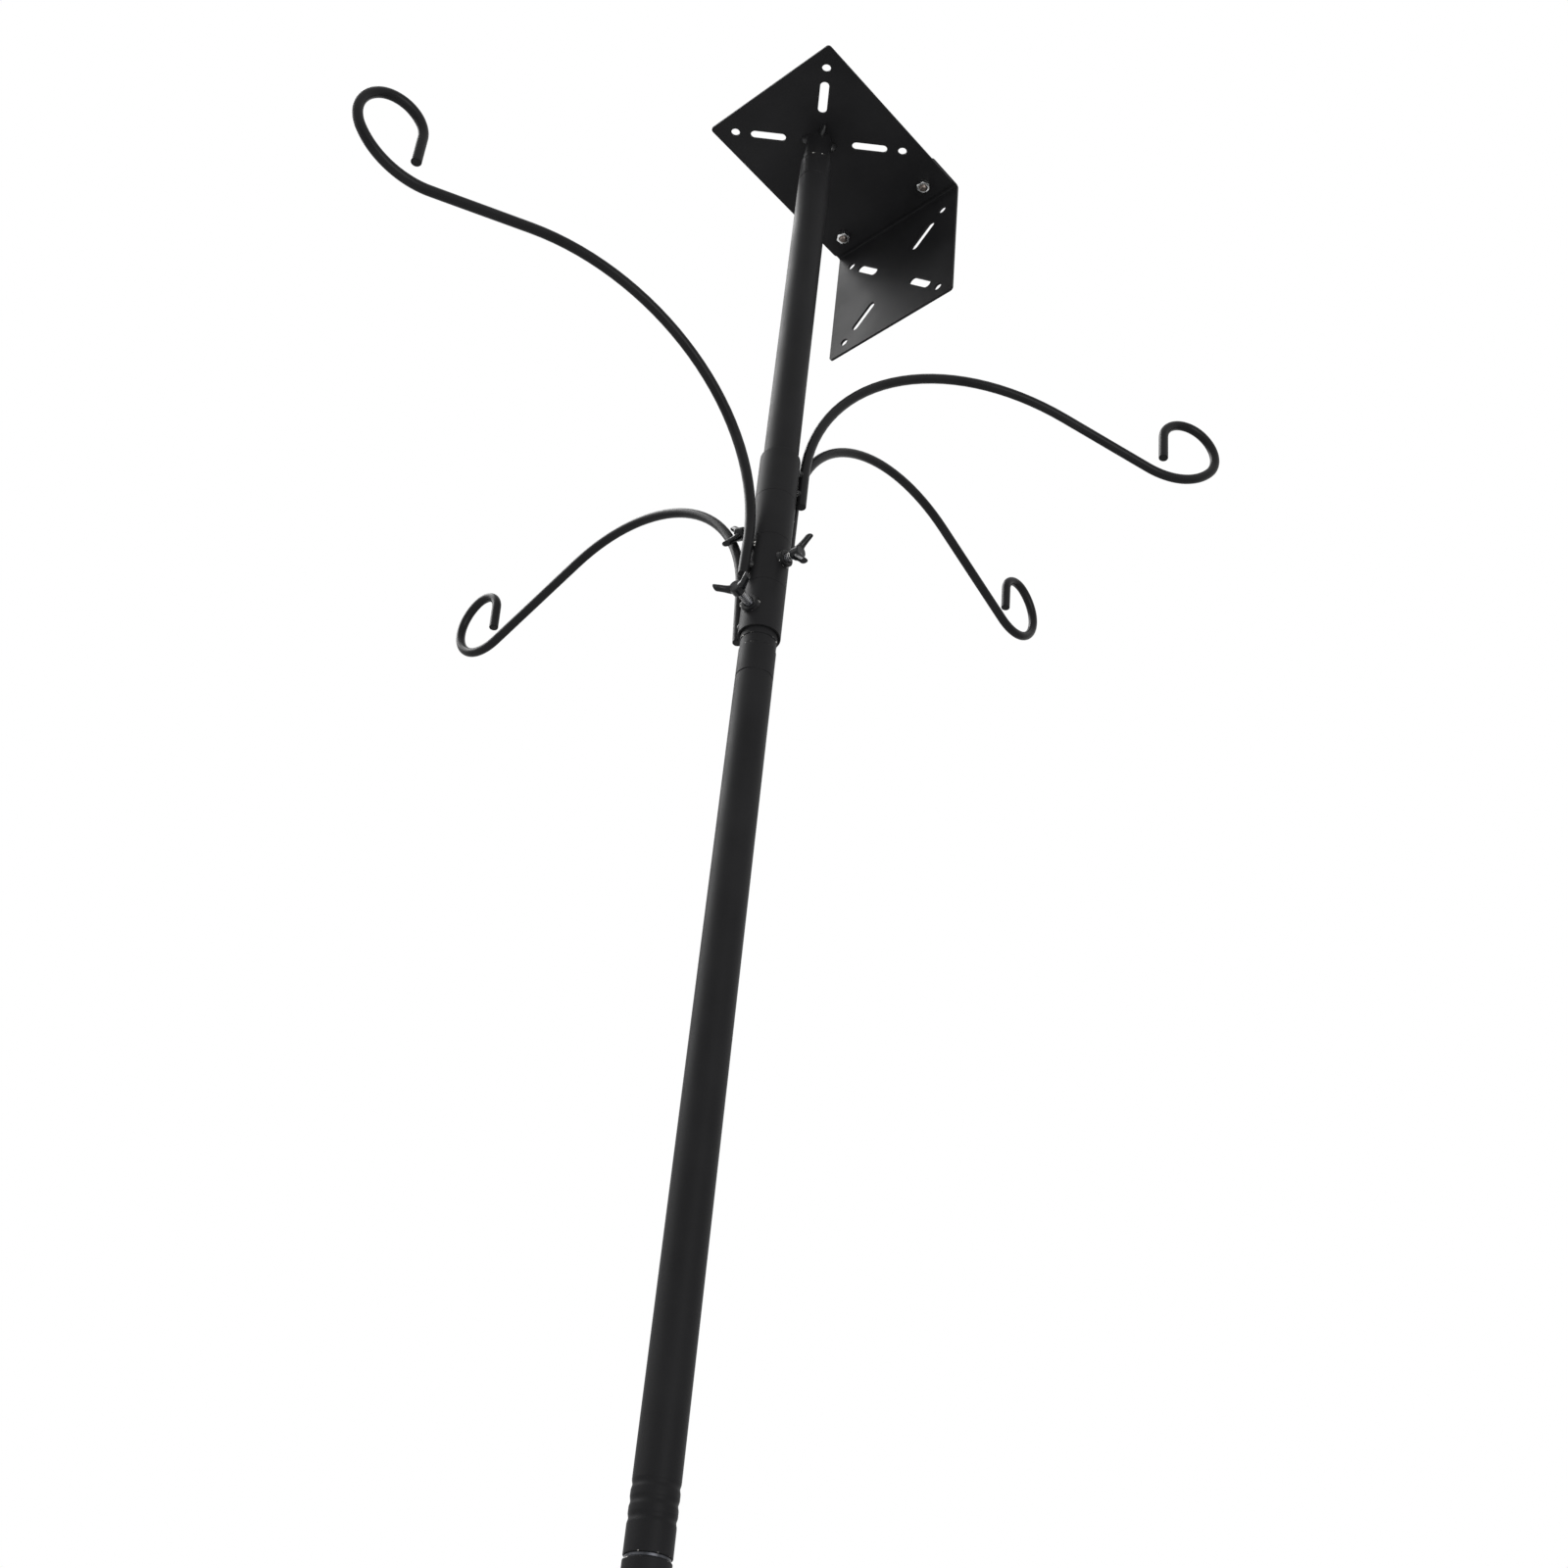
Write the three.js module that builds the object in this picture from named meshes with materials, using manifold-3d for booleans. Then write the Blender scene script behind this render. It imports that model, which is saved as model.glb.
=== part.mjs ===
// A pole stand for bird feeders, in millimetres, +Z up.
// The origin is on the pole's axis at the level of the soil. +X points to the back plate.
// From the top: a slotted plate with a bent bracket bolted to it, a boss that screws into the pole,
// a pole of three tubes screwed end to end, four hooks on sleeves that turn on the pole,
// each clamped by its wing screw, and a stake with four prongs in the soil.
import * as THREE from "three";
import { mergeVertices } from "three/addons/utils/BufferGeometryUtils.js";
import Module from "manifold-3d";

const wasm = await Module();
wasm.setup();

// Gaps between pieces
const faceGap = 0.1; // flat face on flat face
const fitGap = 0.15; // a plug or bush in its tube
const threadGap = 0.25; // male thread in female thread
const boreGap = 0.4; // a screw in its nut
const weldGap = 0.3; // a welded piece and the round wall it is welded to
const cutOverrun = 5; // how far a cutter runs past what it cuts

// Pole tubes
const poleDiameter = 25;
const poleWall = 1.2;
const lowerTubeLength = 300;
const middleTubeLength = 576;
const upperTubeLength = 510;
const tubeEdge = 0.4;
const crimpFromRim = 23;
const crimpWidth = 1.8;
const crimpDepth = 0.5;
const rolledGrooves = 3;
const rolledFromEnd = 17.5;
const rolledPitch = 8.2;
const rolledWidth = 5;
const rolledDepth = 0.45;

// Screwed joints between the tubes
const spigotDiameter = 19.5;
const spigotLength = 20;
const bushLength = 28;
const plugLength = 42;
const collarDiameter = 24.2;
const collarHeight = 7.3;
const shimDiameter = 23.4;
const shimHeight = 1.8;
const collarEdge = 0.8;

// Plate with its pattern of slots and holes
const plateSide = 127;
const plateReach = 99; // from the pole's axis to the edge beside the bracket
const plateThickness = 2;
const cornerRadius = 3;
const holePitch = 97.5;
const holeDiameter = 7;
const slotPitch = 59.2;
const slotLength = 29;
const slotWidth = 7.2;

// Back bracket
const bracketThickness = 2;
const bracketFace = 103.7; // from the pole's axis to the inner face of the back plate
const bracketDrop = 128; // how far the back plate reaches below the mounting plate
const bracketPatternDrop = 66.4;
const flangeStart = 70;
const bendRadius = 1.5;

// Bracket bolts
const boltDiameter = 6;
const boltHoleDiameter = 6.6;
const boltInset = 14.6; // from the mounting plate's edge
const boltSpacing = 86.6;
const headFlats = 10;
const headHeight = 4;
const nutHeight = 5;
const boltTail = 1.8; // thread below the nut

// Boss under the mounting plate
const bossDiameter = 21.4;
const bossLength = 21.5;
const bossCollarDiameter = 22.8;
const bossCollarHeight = 8;
const bossJointGap = 1.5; // between the boss's collar and the tube
const bossWelds = 4;
const bossWeldWidth = 7;
const bossWeldReach = 7;
const bossWeldHeight = 11;
const bossWeldTurn = -123;

// Sleeves that carry the hooks
const sleeveDiameter = 28.8;
const sleeveWall = 1.4;
const sleeveLength = 41;
const sleeveEdge = 0.5;
const sleeveGap = 0.4;
const stackRise = 5; // from the upper tube's lower end to the lowest sleeve
const screwHoleDiameter = 7;

// Round nuts welded to the sleeves
const sleeveNutDiameter = 12.5;
const sleeveNutHeight = 2.9;
const sleeveNutEdge = 1;

// Wing screws
const screwDiameter = 6;
const screwPitch = 1.5;
const screwRidge = 0.45;
const tipGap = 0.2; // the tip and the pole
const hubDiameter = 9.6;
const hubLength = 7;
const hubEdge = 1;
const wingSpan = 25.8;
const wingThickness = 3.4;
const wingRise = 7; // how far the wings stand past the hub
const wingRoot = 6;
const wingTip = 4.6;

// Hook rods
const standOff = 0.6; // a rod and its sleeve
const rodFoot = 3.5; // a rod's lower end above its sleeve's lower rim
const longRodDiameter = 7.6;
const shortRodDiameter = 7.1;
const weldHeights = [14, 33];
const weldWidth = 9;
const weldHeight = 7;
const weldDepth = 3.4;

// The bends of a rod, from its welded end: straight up, over the crown, down the run, then the curl
const longRod = {
  diameter: longRodDiameter,
  straight: 31.5,
  crown: { radius: 159, turn: -107 },
  run: 76,
  curl: [
    { radius: 51, turn: 70 },
    { radius: 28, turn: 86 },
    { radius: 22, turn: 129 },
  ],
  tip: 24,
};
const shortRod = {
  diameter: shortRodDiameter,
  straight: 46.5,
  crown: { radius: 115, turn: -115 },
  run: 88,
  curl: [
    { radius: 31.5, turn: 35 },
    { radius: 27, turn: 142 },
    { radius: 15.5, turn: 118 },
  ],
  tip: 20.5,
};

// Each arm, top first. In degrees: where its rod points, how the rod leans sideways and outwards,
// where its screw sits from its rod, how the wings are rolled from upright.
// In millimetres: the screw's height on the sleeve and the bare thread between its nut and its hub.
const arms = [
  { rod: longRod, turn: -28.6, lean: 0, tilt: 0, screwTurn: 89.6, wingRoll: 15, screwRise: 20.5, bareThread: 3.7 },
  { rod: shortRod, turn: -0.5, lean: -1, tilt: -0.5, screwTurn: 111.5, wingRoll: -22.6, screwRise: 17.2, bareThread: 2.9 },
  { rod: longRod, turn: 168.1, lean: 2.6, tilt: 0.3, screwTurn: 104.3, wingRoll: 6.2, screwRise: 22.1, bareThread: 5.4 },
  { rod: shortRod, turn: 93.5, lean: 3.5, tilt: 1.1, screwTurn: 97.4, wingRoll: -94, screwRise: 18.1, bareThread: 10.9 },
];

// Stake
const socketDiameter = 30;
const socketBoreGap = 0.2;
const socketTop = 22; // above the soil
const socketDepth = 26.5; // the tube's end below the soil
const socketFloor = 4;
const socketEdge = 1;
const spikeDiameter = 12;
const spikeDepth = 190;
const spikePoint = 30;
const prongs = 4;
const prongTurn = 45;
const prongDiameter = 8;
const prongHeight = 7; // the prongs' axes above the soil
const prongReach = 78;
const prongBend = 16;
const prongDepth = 150;
const prongPoint = 18;

// How finely round shapes are cut
const tubeSides = 32;
const nutSides = 16;
const screwSides = 12;
const barSides = 16;
const weldSides = 10;
const weldRings = 6;
const arcSteps = 4;
const bendStepDegrees = 14;

// Places that follow from the sizes
const poleRadius = poleDiameter / 2;
const poleBore = poleRadius - poleWall;
const sleeveRadius = sleeveDiameter / 2;
const lowerTubeBase = -socketDepth;
const middleTubeBase = lowerTubeBase + lowerTubeLength + shimHeight + 2 * faceGap;
const upperTubeBase = middleTubeBase + middleTubeLength + collarHeight + 2 * faceGap;
const upperTubeTop = upperTubeBase + upperTubeLength;
const plateUnderside = upperTubeTop + bossJointGap + bossCollarHeight + bossLength;
const halfPlate = plateSide / 2;
const stackBase = upperTubeBase + stackRise;
const sleevePitch = sleeveLength + sleeveGap;
const boltPlace = plateReach - boltInset;

const powderCoat = { color: 0x242526, roughness: 0.48, metalness: 0.0 };
const glossCoat = { color: 0x27282a, roughness: 0.36, metalness: 0.0 };
const zincPlate = { color: 0xc4c2bc, roughness: 0.28, metalness: 1.0 };
const blackOxide = { color: 0x303134, roughness: 0.34, metalness: 0.85 };

// A named mesh with a material of its own
function piece(name, geometry, finish) {
  const mesh = new THREE.Mesh(geometry, new THREE.MeshStandardMaterial(finish));
  mesh.name = name;
  return mesh;
}

// A closed geometry as a solid that can be joined and cut
function toSolid(geometry) {
  const bare = new THREE.BufferGeometry().setAttribute("position", geometry.getAttribute("position"));
  if (geometry.index) bare.setIndex(geometry.index);
  const merged = mergeVertices(bare.index ? bare.toNonIndexed() : bare, 1e-4);
  return new wasm.Manifold(
    new wasm.Mesh({
      numProp: 3,
      vertProperties: merged.attributes.position.array,
      triVerts: new Uint32Array(merged.index.array),
    }),
  );
}

// A solid back as a geometry with flat faces
function toGeometry(solid) {
  const mesh = solid.getMesh();
  const indexed = new THREE.BufferGeometry();
  indexed.setAttribute("position", new THREE.BufferAttribute(new Float32Array(mesh.vertProperties), 3));
  indexed.setIndex(new THREE.BufferAttribute(new Uint32Array(mesh.triVerts), 1));
  const flat = indexed.toNonIndexed();
  flat.computeVertexNormals();
  return flat;
}

// A profile of [radius, height] pairs turned about Z
function turned(profile, sides) {
  const points = profile.map(([radius, height]) => new THREE.Vector2(radius, height));
  return new THREE.LatheGeometry(points, sides).rotateX(Math.PI / 2);
}

// A straight round bar along Z
function roundBar(radius, low, high, sides) {
  return turned([[0, low], [radius, low], [radius, high], [0, high]], sides);
}

// An outline pushed up along Z
function prism(outline, low, high) {
  const options = { depth: high - low, bevelEnabled: false, curveSegments: arcSteps };
  return new THREE.ExtrudeGeometry(outline, options).translate(0, 0, low);
}

// A shape built along Z, turned to point along X
function towardsX(geometry) {
  return geometry.rotateY(Math.PI / 2);
}

function roundedRectangle(left, bottom, right, top, radius) {
  const shape = new THREE.Shape();
  shape.moveTo(left + radius, bottom);
  shape.lineTo(right - radius, bottom);
  shape.absarc(right - radius, bottom + radius, radius, -Math.PI / 2, 0, false);
  shape.lineTo(right, top - radius);
  shape.absarc(right - radius, top - radius, radius, 0, Math.PI / 2, false);
  shape.lineTo(left + radius, top);
  shape.absarc(left + radius, top - radius, radius, Math.PI / 2, Math.PI, false);
  shape.lineTo(left, bottom + radius);
  shape.absarc(left + radius, bottom + radius, radius, Math.PI, (3 * Math.PI) / 2, false);
  return shape;
}

function regularPolygon(sides, radius, turn) {
  const corner = (i) => turn + (2 * Math.PI * i) / sides;
  const points = Array.from({ length: sides }, (_, i) => {
    return new THREE.Vector2(radius * Math.cos(corner(i)), radius * Math.sin(corner(i)));
  });
  return new THREE.Shape(points);
}

// A hexagon with its flats a given distance apart
function hexagon(flats) {
  return regularPolygon(6, flats / 2 / Math.cos(Math.PI / 6), 0);
}

// The pattern that both plates share: a hole near each corner and a slot on each diagonal
function patternOutlines(centreX, centreY) {
  const outlines = [];
  for (const sideX of [-1, 1]) {
    for (const sideY of [-1, 1]) {
      const holeX = centreX + (sideX * holePitch) / 2;
      const holeY = centreY + (sideY * holePitch) / 2;
      const hole = new THREE.Shape();
      hole.absarc(holeX, holeY, holeDiameter / 2, 0, 2 * Math.PI, false);
      outlines.push(hole);
      const slotX = centreX + (sideX * slotPitch) / 2;
      const slotY = centreY + (sideY * slotPitch) / 2;
      const radius = slotWidth / 2;
      const travel = slotLength / 2 - radius;
      const along = Math.atan2(sideY, sideX);
      const slot = new THREE.Shape();
      for (const end of [1, -1]) {
        const endX = slotX + end * travel * Math.cos(along);
        const endY = slotY + end * travel * Math.sin(along);
        const from = along + (end > 0 ? -Math.PI / 2 : Math.PI / 2);
        slot.absarc(endX, endY, radius, from, from + Math.PI, false);
      }
      outlines.push(slot);
    }
  }
  return outlines;
}

// Stations [height, inset] down and up one smooth groove in a round wall
function groove(centre, width, depth) {
  return [[centre - width / 2, 0], [centre, depth], [centre + width / 2, 0]];
}

// A pole tube from height 0 up, crimped near its top and, if asked, rolled near its bottom
function tubeGeometry(length, rolled) {
  const grooves = [];
  if (rolled) {
    for (let i = 0; i < rolledGrooves; i += 1) {
      grooves.push(...groove(rolledFromEnd + i * rolledPitch, rolledWidth, rolledDepth));
    }
  }
  grooves.push(...groove(length - crimpFromRim, crimpWidth, crimpDepth));
  const wall = [[0, tubeEdge], [tubeEdge, 0], ...grooves, [length - tubeEdge, 0], [length, tubeEdge]];
  const outer = wall.map(([height, inset]) => [poleRadius - inset, height]);
  const profile = [...outer, [poleBore, length], [poleBore, 0]];
  return turned([...profile, profile[0]], tubeSides);
}

// The threaded bush crimped into the top of a tube, its top face at height 0
function bushGeometry() {
  const radius = poleBore - fitGap;
  const bore = spigotDiameter / 2 + threadGap;
  const profile = [[radius, -bushLength], [radius, 0], [bore, 0], [bore, -bushLength]];
  return turned([...profile, profile[0]], tubeSides);
}

// A threaded plug in the foot of a tube: body up, collar and spigot down, the tube's end at height 0
function plugGeometry(collar, height) {
  const body = poleBore - fitGap;
  const radius = collar / 2;
  const low = -faceGap - height;
  const spigot = spigotDiameter / 2;
  const profile = [
    [0, low - spigotLength],
    [spigot, low - spigotLength],
    [spigot, low],
    [radius - collarEdge / 2, low],
    [radius, low + collarEdge],
    [radius, -faceGap],
    [body, -faceGap],
    [body, plugLength],
    [0, plugLength],
  ];
  return turned(profile, tubeSides);
}

function mountingPlateGeometry() {
  const outline = roundedRectangle(-halfPlate, -halfPlate, plateReach, halfPlate, cornerRadius);
  outline.holes.push(...patternOutlines(0, 0));
  for (const side of [-1, 1]) {
    const hole = new THREE.Path();
    hole.absarc(boltPlace, (side * boltSpacing) / 2, boltHoleDiameter / 2, 0, 2 * Math.PI, false);
    outline.holes.push(hole);
  }
  return prism(outline, 0, plateThickness);
}

// The bent bracket, placed from the underside of the mounting plate
function backBracketGeometry() {
  const flangeLow = plateThickness + faceGap;
  const flangeHigh = flangeLow + bracketThickness;
  const outerFace = bracketFace + bracketThickness;
  const outerBend = bendRadius + bracketThickness;
  const bendX = bracketFace - bendRadius;
  const bendZ = flangeLow - bendRadius;
  const side = new THREE.Shape();
  side.moveTo(flangeStart, flangeLow);
  side.lineTo(bendX, flangeLow);
  side.absarc(bendX, bendZ, bendRadius, Math.PI / 2, 0, true);
  side.lineTo(bracketFace, -bracketDrop);
  side.lineTo(outerFace, -bracketDrop);
  side.lineTo(outerFace, bendZ);
  side.absarc(bendX, bendZ, outerBend, 0, Math.PI / 2, false);
  side.lineTo(flangeStart, flangeHigh);
  const bent = toSolid(prism(side, -halfPlate, halfPlate).rotateX(Math.PI / 2));
  // The window's outline is drawn as [height turned to X, width], then stood up to face along X
  const top = flangeHigh + cutOverrun + cornerRadius;
  const window = roundedRectangle(-top, -halfPlate, bracketDrop, halfPlate, cornerRadius);
  const windowSolid = toSolid(towardsX(prism(window, flangeStart - cutOverrun, outerFace + cutOverrun)));
  let bracket = bent.intersect(windowSolid);
  for (const outline of patternOutlines(bracketPatternDrop, 0)) {
    bracket = bracket.subtract(toSolid(towardsX(prism(outline, bracketFace - cutOverrun, outerFace + cutOverrun))));
  }
  for (const end of [-1, 1]) {
    const drill = roundBar(boltHoleDiameter / 2, flangeLow - cutOverrun, flangeHigh + cutOverrun, nutSides);
    bracket = bracket.subtract(toSolid(drill.translate(boltPlace, (end * boltSpacing) / 2, 0)));
  }
  return toGeometry(bracket);
}

// Ridges of a thread along a bar: [radius, height] pairs from low to high
function threadRidges(radius, low, high) {
  const points = [];
  for (let height = low; height + screwPitch <= high; height += screwPitch) {
    points.push([radius, height + screwPitch / 4], [radius, height + screwPitch / 2]);
    points.push([radius - screwRidge, height + (3 * screwPitch) / 4], [radius - screwRidge, height + screwPitch]);
  }
  return points;
}

// A bracket bolt, head up, its head's seat at height 0 and its thread ending below the nut
function boltGeometry() {
  const radius = boltDiameter / 2;
  const nutLow = -(bracketThickness + plateThickness + 3 * faceGap + nutHeight);
  const end = nutLow - boltTail;
  const shank = [
    [0, end],
    [radius - screwRidge, end],
    ...threadRidges(radius, end, nutLow),
    [radius, nutLow],
    [radius, headHeight / 2],
    [0, headHeight / 2],
  ];
  const head = toSolid(prism(hexagon(headFlats), faceGap, headHeight));
  return toGeometry(head.add(toSolid(turned(shank, screwSides))));
}

function boltNutGeometry() {
  const outline = hexagon(headFlats);
  const bore = new THREE.Path();
  bore.absarc(0, 0, boltDiameter / 2 + boreGap, 0, 2 * Math.PI, false);
  outline.holes.push(bore);
  return prism(outline, -nutHeight, 0);
}

// The boss under the plate, with its weld beads; the plate's underside is at height 0
function bossGeometry() {
  const radius = bossDiameter / 2;
  const collar = bossCollarDiameter / 2;
  const spigot = spigotDiameter / 2;
  const collarHigh = -bossLength;
  const collarLow = collarHigh - bossCollarHeight;
  const end = collarLow - bossJointGap - spigotLength;
  const profile = [
    [0, end],
    [spigot - collarEdge, end],
    [spigot, end + collarEdge],
    [spigot, collarLow],
    [collar - collarEdge, collarLow],
    [collar, collarLow + collarEdge],
    [collar, collarHigh - collarEdge],
    [radius, collarHigh],
    [radius, -faceGap],
    [0, -faceGap],
  ];
  let boss = toSolid(turned(profile, tubeSides));
  const below = toSolid(roundBar(radius + bossWeldWidth + bossWeldReach, end - cutOverrun, -faceGap, nutSides));
  for (let i = 0; i < bossWelds; i += 1) {
    const bead = new THREE.SphereGeometry(1, weldSides, weldRings);
    bead.scale(bossWeldReach, bossWeldWidth / 2, bossWeldHeight).translate(radius, 0, 0);
    bead.rotateZ(((bossWeldTurn + (360 * i) / bossWelds) * Math.PI) / 180);
    boss = boss.add(toSolid(bead).intersect(below));
  }
  return toGeometry(boss);
}

// A sleeve from height 0 up, drilled for its screw
function sleeveGeometry(screwTurn, screwRise) {
  const bore = sleeveRadius - sleeveWall;
  const profile = [
    [bore, 0],
    [sleeveRadius - sleeveEdge, 0],
    [sleeveRadius, sleeveEdge],
    [sleeveRadius, sleeveLength - sleeveEdge],
    [sleeveRadius - sleeveEdge, sleeveLength],
    [bore, sleeveLength],
  ];
  const ring = toSolid(turned([...profile, profile[0]], tubeSides));
  const drill = towardsX(roundBar(screwHoleDiameter / 2, 0, sleeveRadius + cutOverrun, nutSides));
  drill.rotateZ(screwTurn).translate(0, 0, screwRise);
  return toGeometry(ring.subtract(toSolid(drill)));
}

// A round nut that stands on the sleeve along X, saddled to the sleeve's wall
function sleeveNutGeometry(screwTurn) {
  const radius = sleeveNutDiameter / 2;
  const high = sleeveRadius + sleeveNutHeight;
  const bore = screwDiameter / 2 + boreGap;
  const blank = turned(
    [[0, 0], [radius, 0], [radius, high - sleeveNutEdge], [radius - sleeveNutEdge, high], [0, high]],
    nutSides,
  );
  const drill = roundBar(bore, -cutOverrun, high + cutOverrun, screwSides);
  const nut = toSolid(towardsX(blank)).subtract(toSolid(towardsX(drill)));
  const wall = roundBar(sleeveRadius + weldGap, -sleeveLength, sleeveLength, tubeSides).rotateZ(-screwTurn);
  return toGeometry(nut.subtract(toSolid(wall)));
}

// A wing screw along X, placed by its distance from the pole's axis, with its wings upright
function wingScrewGeometry(bareThread) {
  const radius = screwDiameter / 2;
  const tip = poleRadius + tipGap;
  const nutTop = sleeveRadius + sleeveNutHeight;
  const hubLow = nutTop + bareThread;
  const hubHigh = hubLow + hubLength;
  const hub = hubDiameter / 2;
  const profile = [
    [0, tip],
    [radius - screwRidge, tip],
    [radius, tip + screwRidge],
    ...threadRidges(radius, nutTop - screwPitch, hubLow),
    [radius - screwRidge, hubLow],
    [hub - hubEdge, hubLow],
    [hub, hubLow + hubEdge],
    [hub, hubHigh - hubEdge],
    [hub - hubEdge, hubHigh],
    [0, hubHigh],
  ];
  let screw = toSolid(towardsX(turned(profile, screwSides)));
  const wingHigh = hubHigh + wingRise;
  const wingLow = hubHigh - wingRoot;
  for (const side of [-1, 1]) {
    const outline = new THREE.Shape([
      new THREE.Vector2(wingLow, (side * hub) / 2),
      new THREE.Vector2(wingLow, side * hub),
      new THREE.Vector2(wingHigh - wingTip, (side * wingSpan) / 2),
      new THREE.Vector2(wingHigh - wingTip / 4, (side * wingSpan) / 2),
      new THREE.Vector2(wingHigh, (side * wingSpan) / 2 - (side * wingTip) / 3),
      new THREE.Vector2(hubHigh - hubEdge, side * hub * (2 / 3)),
      new THREE.Vector2(hubHigh - hubEdge, (side * hub) / 2),
    ]);
    const wing = prism(outline, -wingThickness / 2, wingThickness / 2).rotateX(Math.PI / 2);
    screw = screw.add(toSolid(wing));
  }
  return toGeometry(screw);
}

// A bar bent in the XZ plane. Each bend is { run } or { radius, turn }, turn in degrees, left is positive.
class BentBar extends THREE.Curve {
  constructor(startX, startZ, heading, bends) {
    super();
    this.pieces = [];
    this.steps = 0;
    let end = { x: startX, z: startZ, heading };
    for (const bend of bends) {
      const steps = bend.run ? 1 : Math.ceil(Math.abs(bend.turn) / bendStepDegrees);
      this.pieces.push({ ...bend, start: end, first: this.steps, steps });
      this.steps += steps;
      end = this.along(this.pieces.at(-1), 1);
    }
    this.end = end;
  }

  along({ start, run, radius, turn }, share) {
    const { x, z, heading } = start;
    if (run) {
      return { x: x + share * run * Math.cos(heading), z: z + share * run * Math.sin(heading), heading };
    }
    const side = Math.sign(turn);
    const next = heading + (share * turn * Math.PI) / 180;
    return {
      x: x + side * radius * (Math.sin(next) - Math.sin(heading)),
      z: z - side * radius * (Math.cos(next) - Math.cos(heading)),
      heading: next,
    };
  }

  getPoint(t, target = new THREE.Vector3()) {
    const step = Math.min(Math.max(t, 0), 1) * this.steps;
    const found = this.pieces.find(({ first, steps }) => step <= first + steps) ?? this.pieces.at(-1);
    const place = this.along(found, (step - found.first) / found.steps);
    return target.set(place.x, 0, place.z);
  }

  // Steps are shared out by bend, not by length, so that tight bends stay round
  getUtoTmapping(u) {
    return u;
  }
}

function barGeometry(path, diameter) {
  const section = regularPolygon(barSides, diameter / 2, 0);
  return new THREE.ExtrudeGeometry(section, { steps: path.steps, extrudePath: path, bevelEnabled: false });
}

// A hook rod with its tack welds, in its sleeve's frame: the rod points along X from the sleeve's lower rim
function hookRodGeometry({ rod, lean, tilt }) {
  const startX = sleeveRadius + standOff + rod.diameter / 2;
  const bends = [{ run: rod.straight }, rod.crown, { run: rod.run }, ...rod.curl, { run: rod.tip }];
  const path = new BentBar(0, rodFoot, Math.PI / 2, bends);
  const bar = barGeometry(path, rod.diameter);
  bar.rotateY((tilt * Math.PI) / 180).rotateX((-lean * Math.PI) / 180).translate(startX, 0, 0);
  let hook = toSolid(bar);
  const wall = toSolid(roundBar(sleeveRadius + weldGap, -cutOverrun, sleeveLength + cutOverrun, tubeSides));
  for (const height of weldHeights) {
    const bead = new THREE.SphereGeometry(1, weldSides, weldRings);
    bead.scale(weldDepth, weldWidth / 2, weldHeight / 2);
    bead.translate(sleeveRadius + standOff, height * Math.sin((lean * Math.PI) / 180), height);
    hook = hook.add(toSolid(bead).subtract(wall));
  }
  return toGeometry(hook);
}

function socketGeometry() {
  const radius = socketDiameter / 2;
  const bore = poleRadius + socketBoreGap;
  const seat = lowerTubeBase - faceGap;
  const base = seat - socketFloor;
  const profile = [
    [0, base],
    [radius - socketEdge, base],
    [radius, base + socketEdge],
    [radius, socketTop - socketEdge],
    [radius - socketEdge, socketTop],
    [bore, socketTop],
    [bore, seat],
    [0, seat],
  ];
  return turned(profile, tubeSides);
}

function spikeGeometry() {
  const radius = spikeDiameter / 2;
  const high = lowerTubeBase - socketFloor - 2 * faceGap;
  return turned([[0, -spikeDepth], [radius, spikePoint - spikeDepth], [radius, high], [0, high]], nutSides);
}

// One prong along X: out from the socket, over the bend, down into the soil to its point
function prongGeometry() {
  const start = socketDiameter / 2 + weldGap;
  const bends = [
    { run: prongReach - prongBend - start },
    { radius: prongBend, turn: -90 },
    { run: prongHeight - prongBend + prongDepth - prongPoint },
  ];
  const path = new BentBar(start, prongHeight, 0, bends);
  const point = turned([[0, -prongPoint], [prongDiameter / 2, 0], [0, 0]], barSides);
  point.translate(path.end.x, 0, path.end.z);
  return toGeometry(toSolid(barGeometry(path, prongDiameter)).add(toSolid(point)));
}

const stand = new THREE.Group();

function addPlateAssembly() {
  const top = new THREE.Group();
  top.position.z = plateUnderside;
  top.add(piece("mounting_plate", mountingPlateGeometry(), powderCoat));
  top.add(piece("back_bracket", backBracketGeometry(), powderCoat));
  top.add(piece("plate_boss", bossGeometry(), powderCoat));
  for (const [side, word] of [[1, "left"], [-1, "right"]]) {
    const bolt = piece("bracket_bolt_" + word, boltGeometry(), zincPlate);
    bolt.position.set(boltPlace, (side * boltSpacing) / 2, plateThickness + bracketThickness + faceGap);
    const nut = piece("bracket_nut_" + word, boltNutGeometry(), zincPlate);
    nut.position.set(boltPlace, (side * boltSpacing) / 2, -faceGap);
    top.add(bolt, nut);
  }
  stand.add(top);
}

function addPole() {
  const tubes = [
    { name: "lower_tube", base: lowerTubeBase, length: lowerTubeLength },
    { name: "middle_tube", base: middleTubeBase, length: middleTubeLength, rolled: true },
    { name: "upper_tube", base: upperTubeBase, length: upperTubeLength },
  ];
  for (const { name, base, length, rolled } of tubes) {
    const tube = piece(name, tubeGeometry(length, rolled), powderCoat);
    tube.position.z = base;
    const bush = piece(name + "_bush", bushGeometry(), blackOxide);
    bush.position.z = base + length - faceGap;
    stand.add(tube, bush);
  }
  const middlePlug = piece("middle_tube_plug", plugGeometry(shimDiameter, shimHeight), blackOxide);
  middlePlug.position.z = middleTubeBase;
  const upperPlug = piece("upper_tube_plug", plugGeometry(collarDiameter, collarHeight), powderCoat);
  upperPlug.position.z = upperTubeBase;
  stand.add(middlePlug, upperPlug);
}

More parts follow.
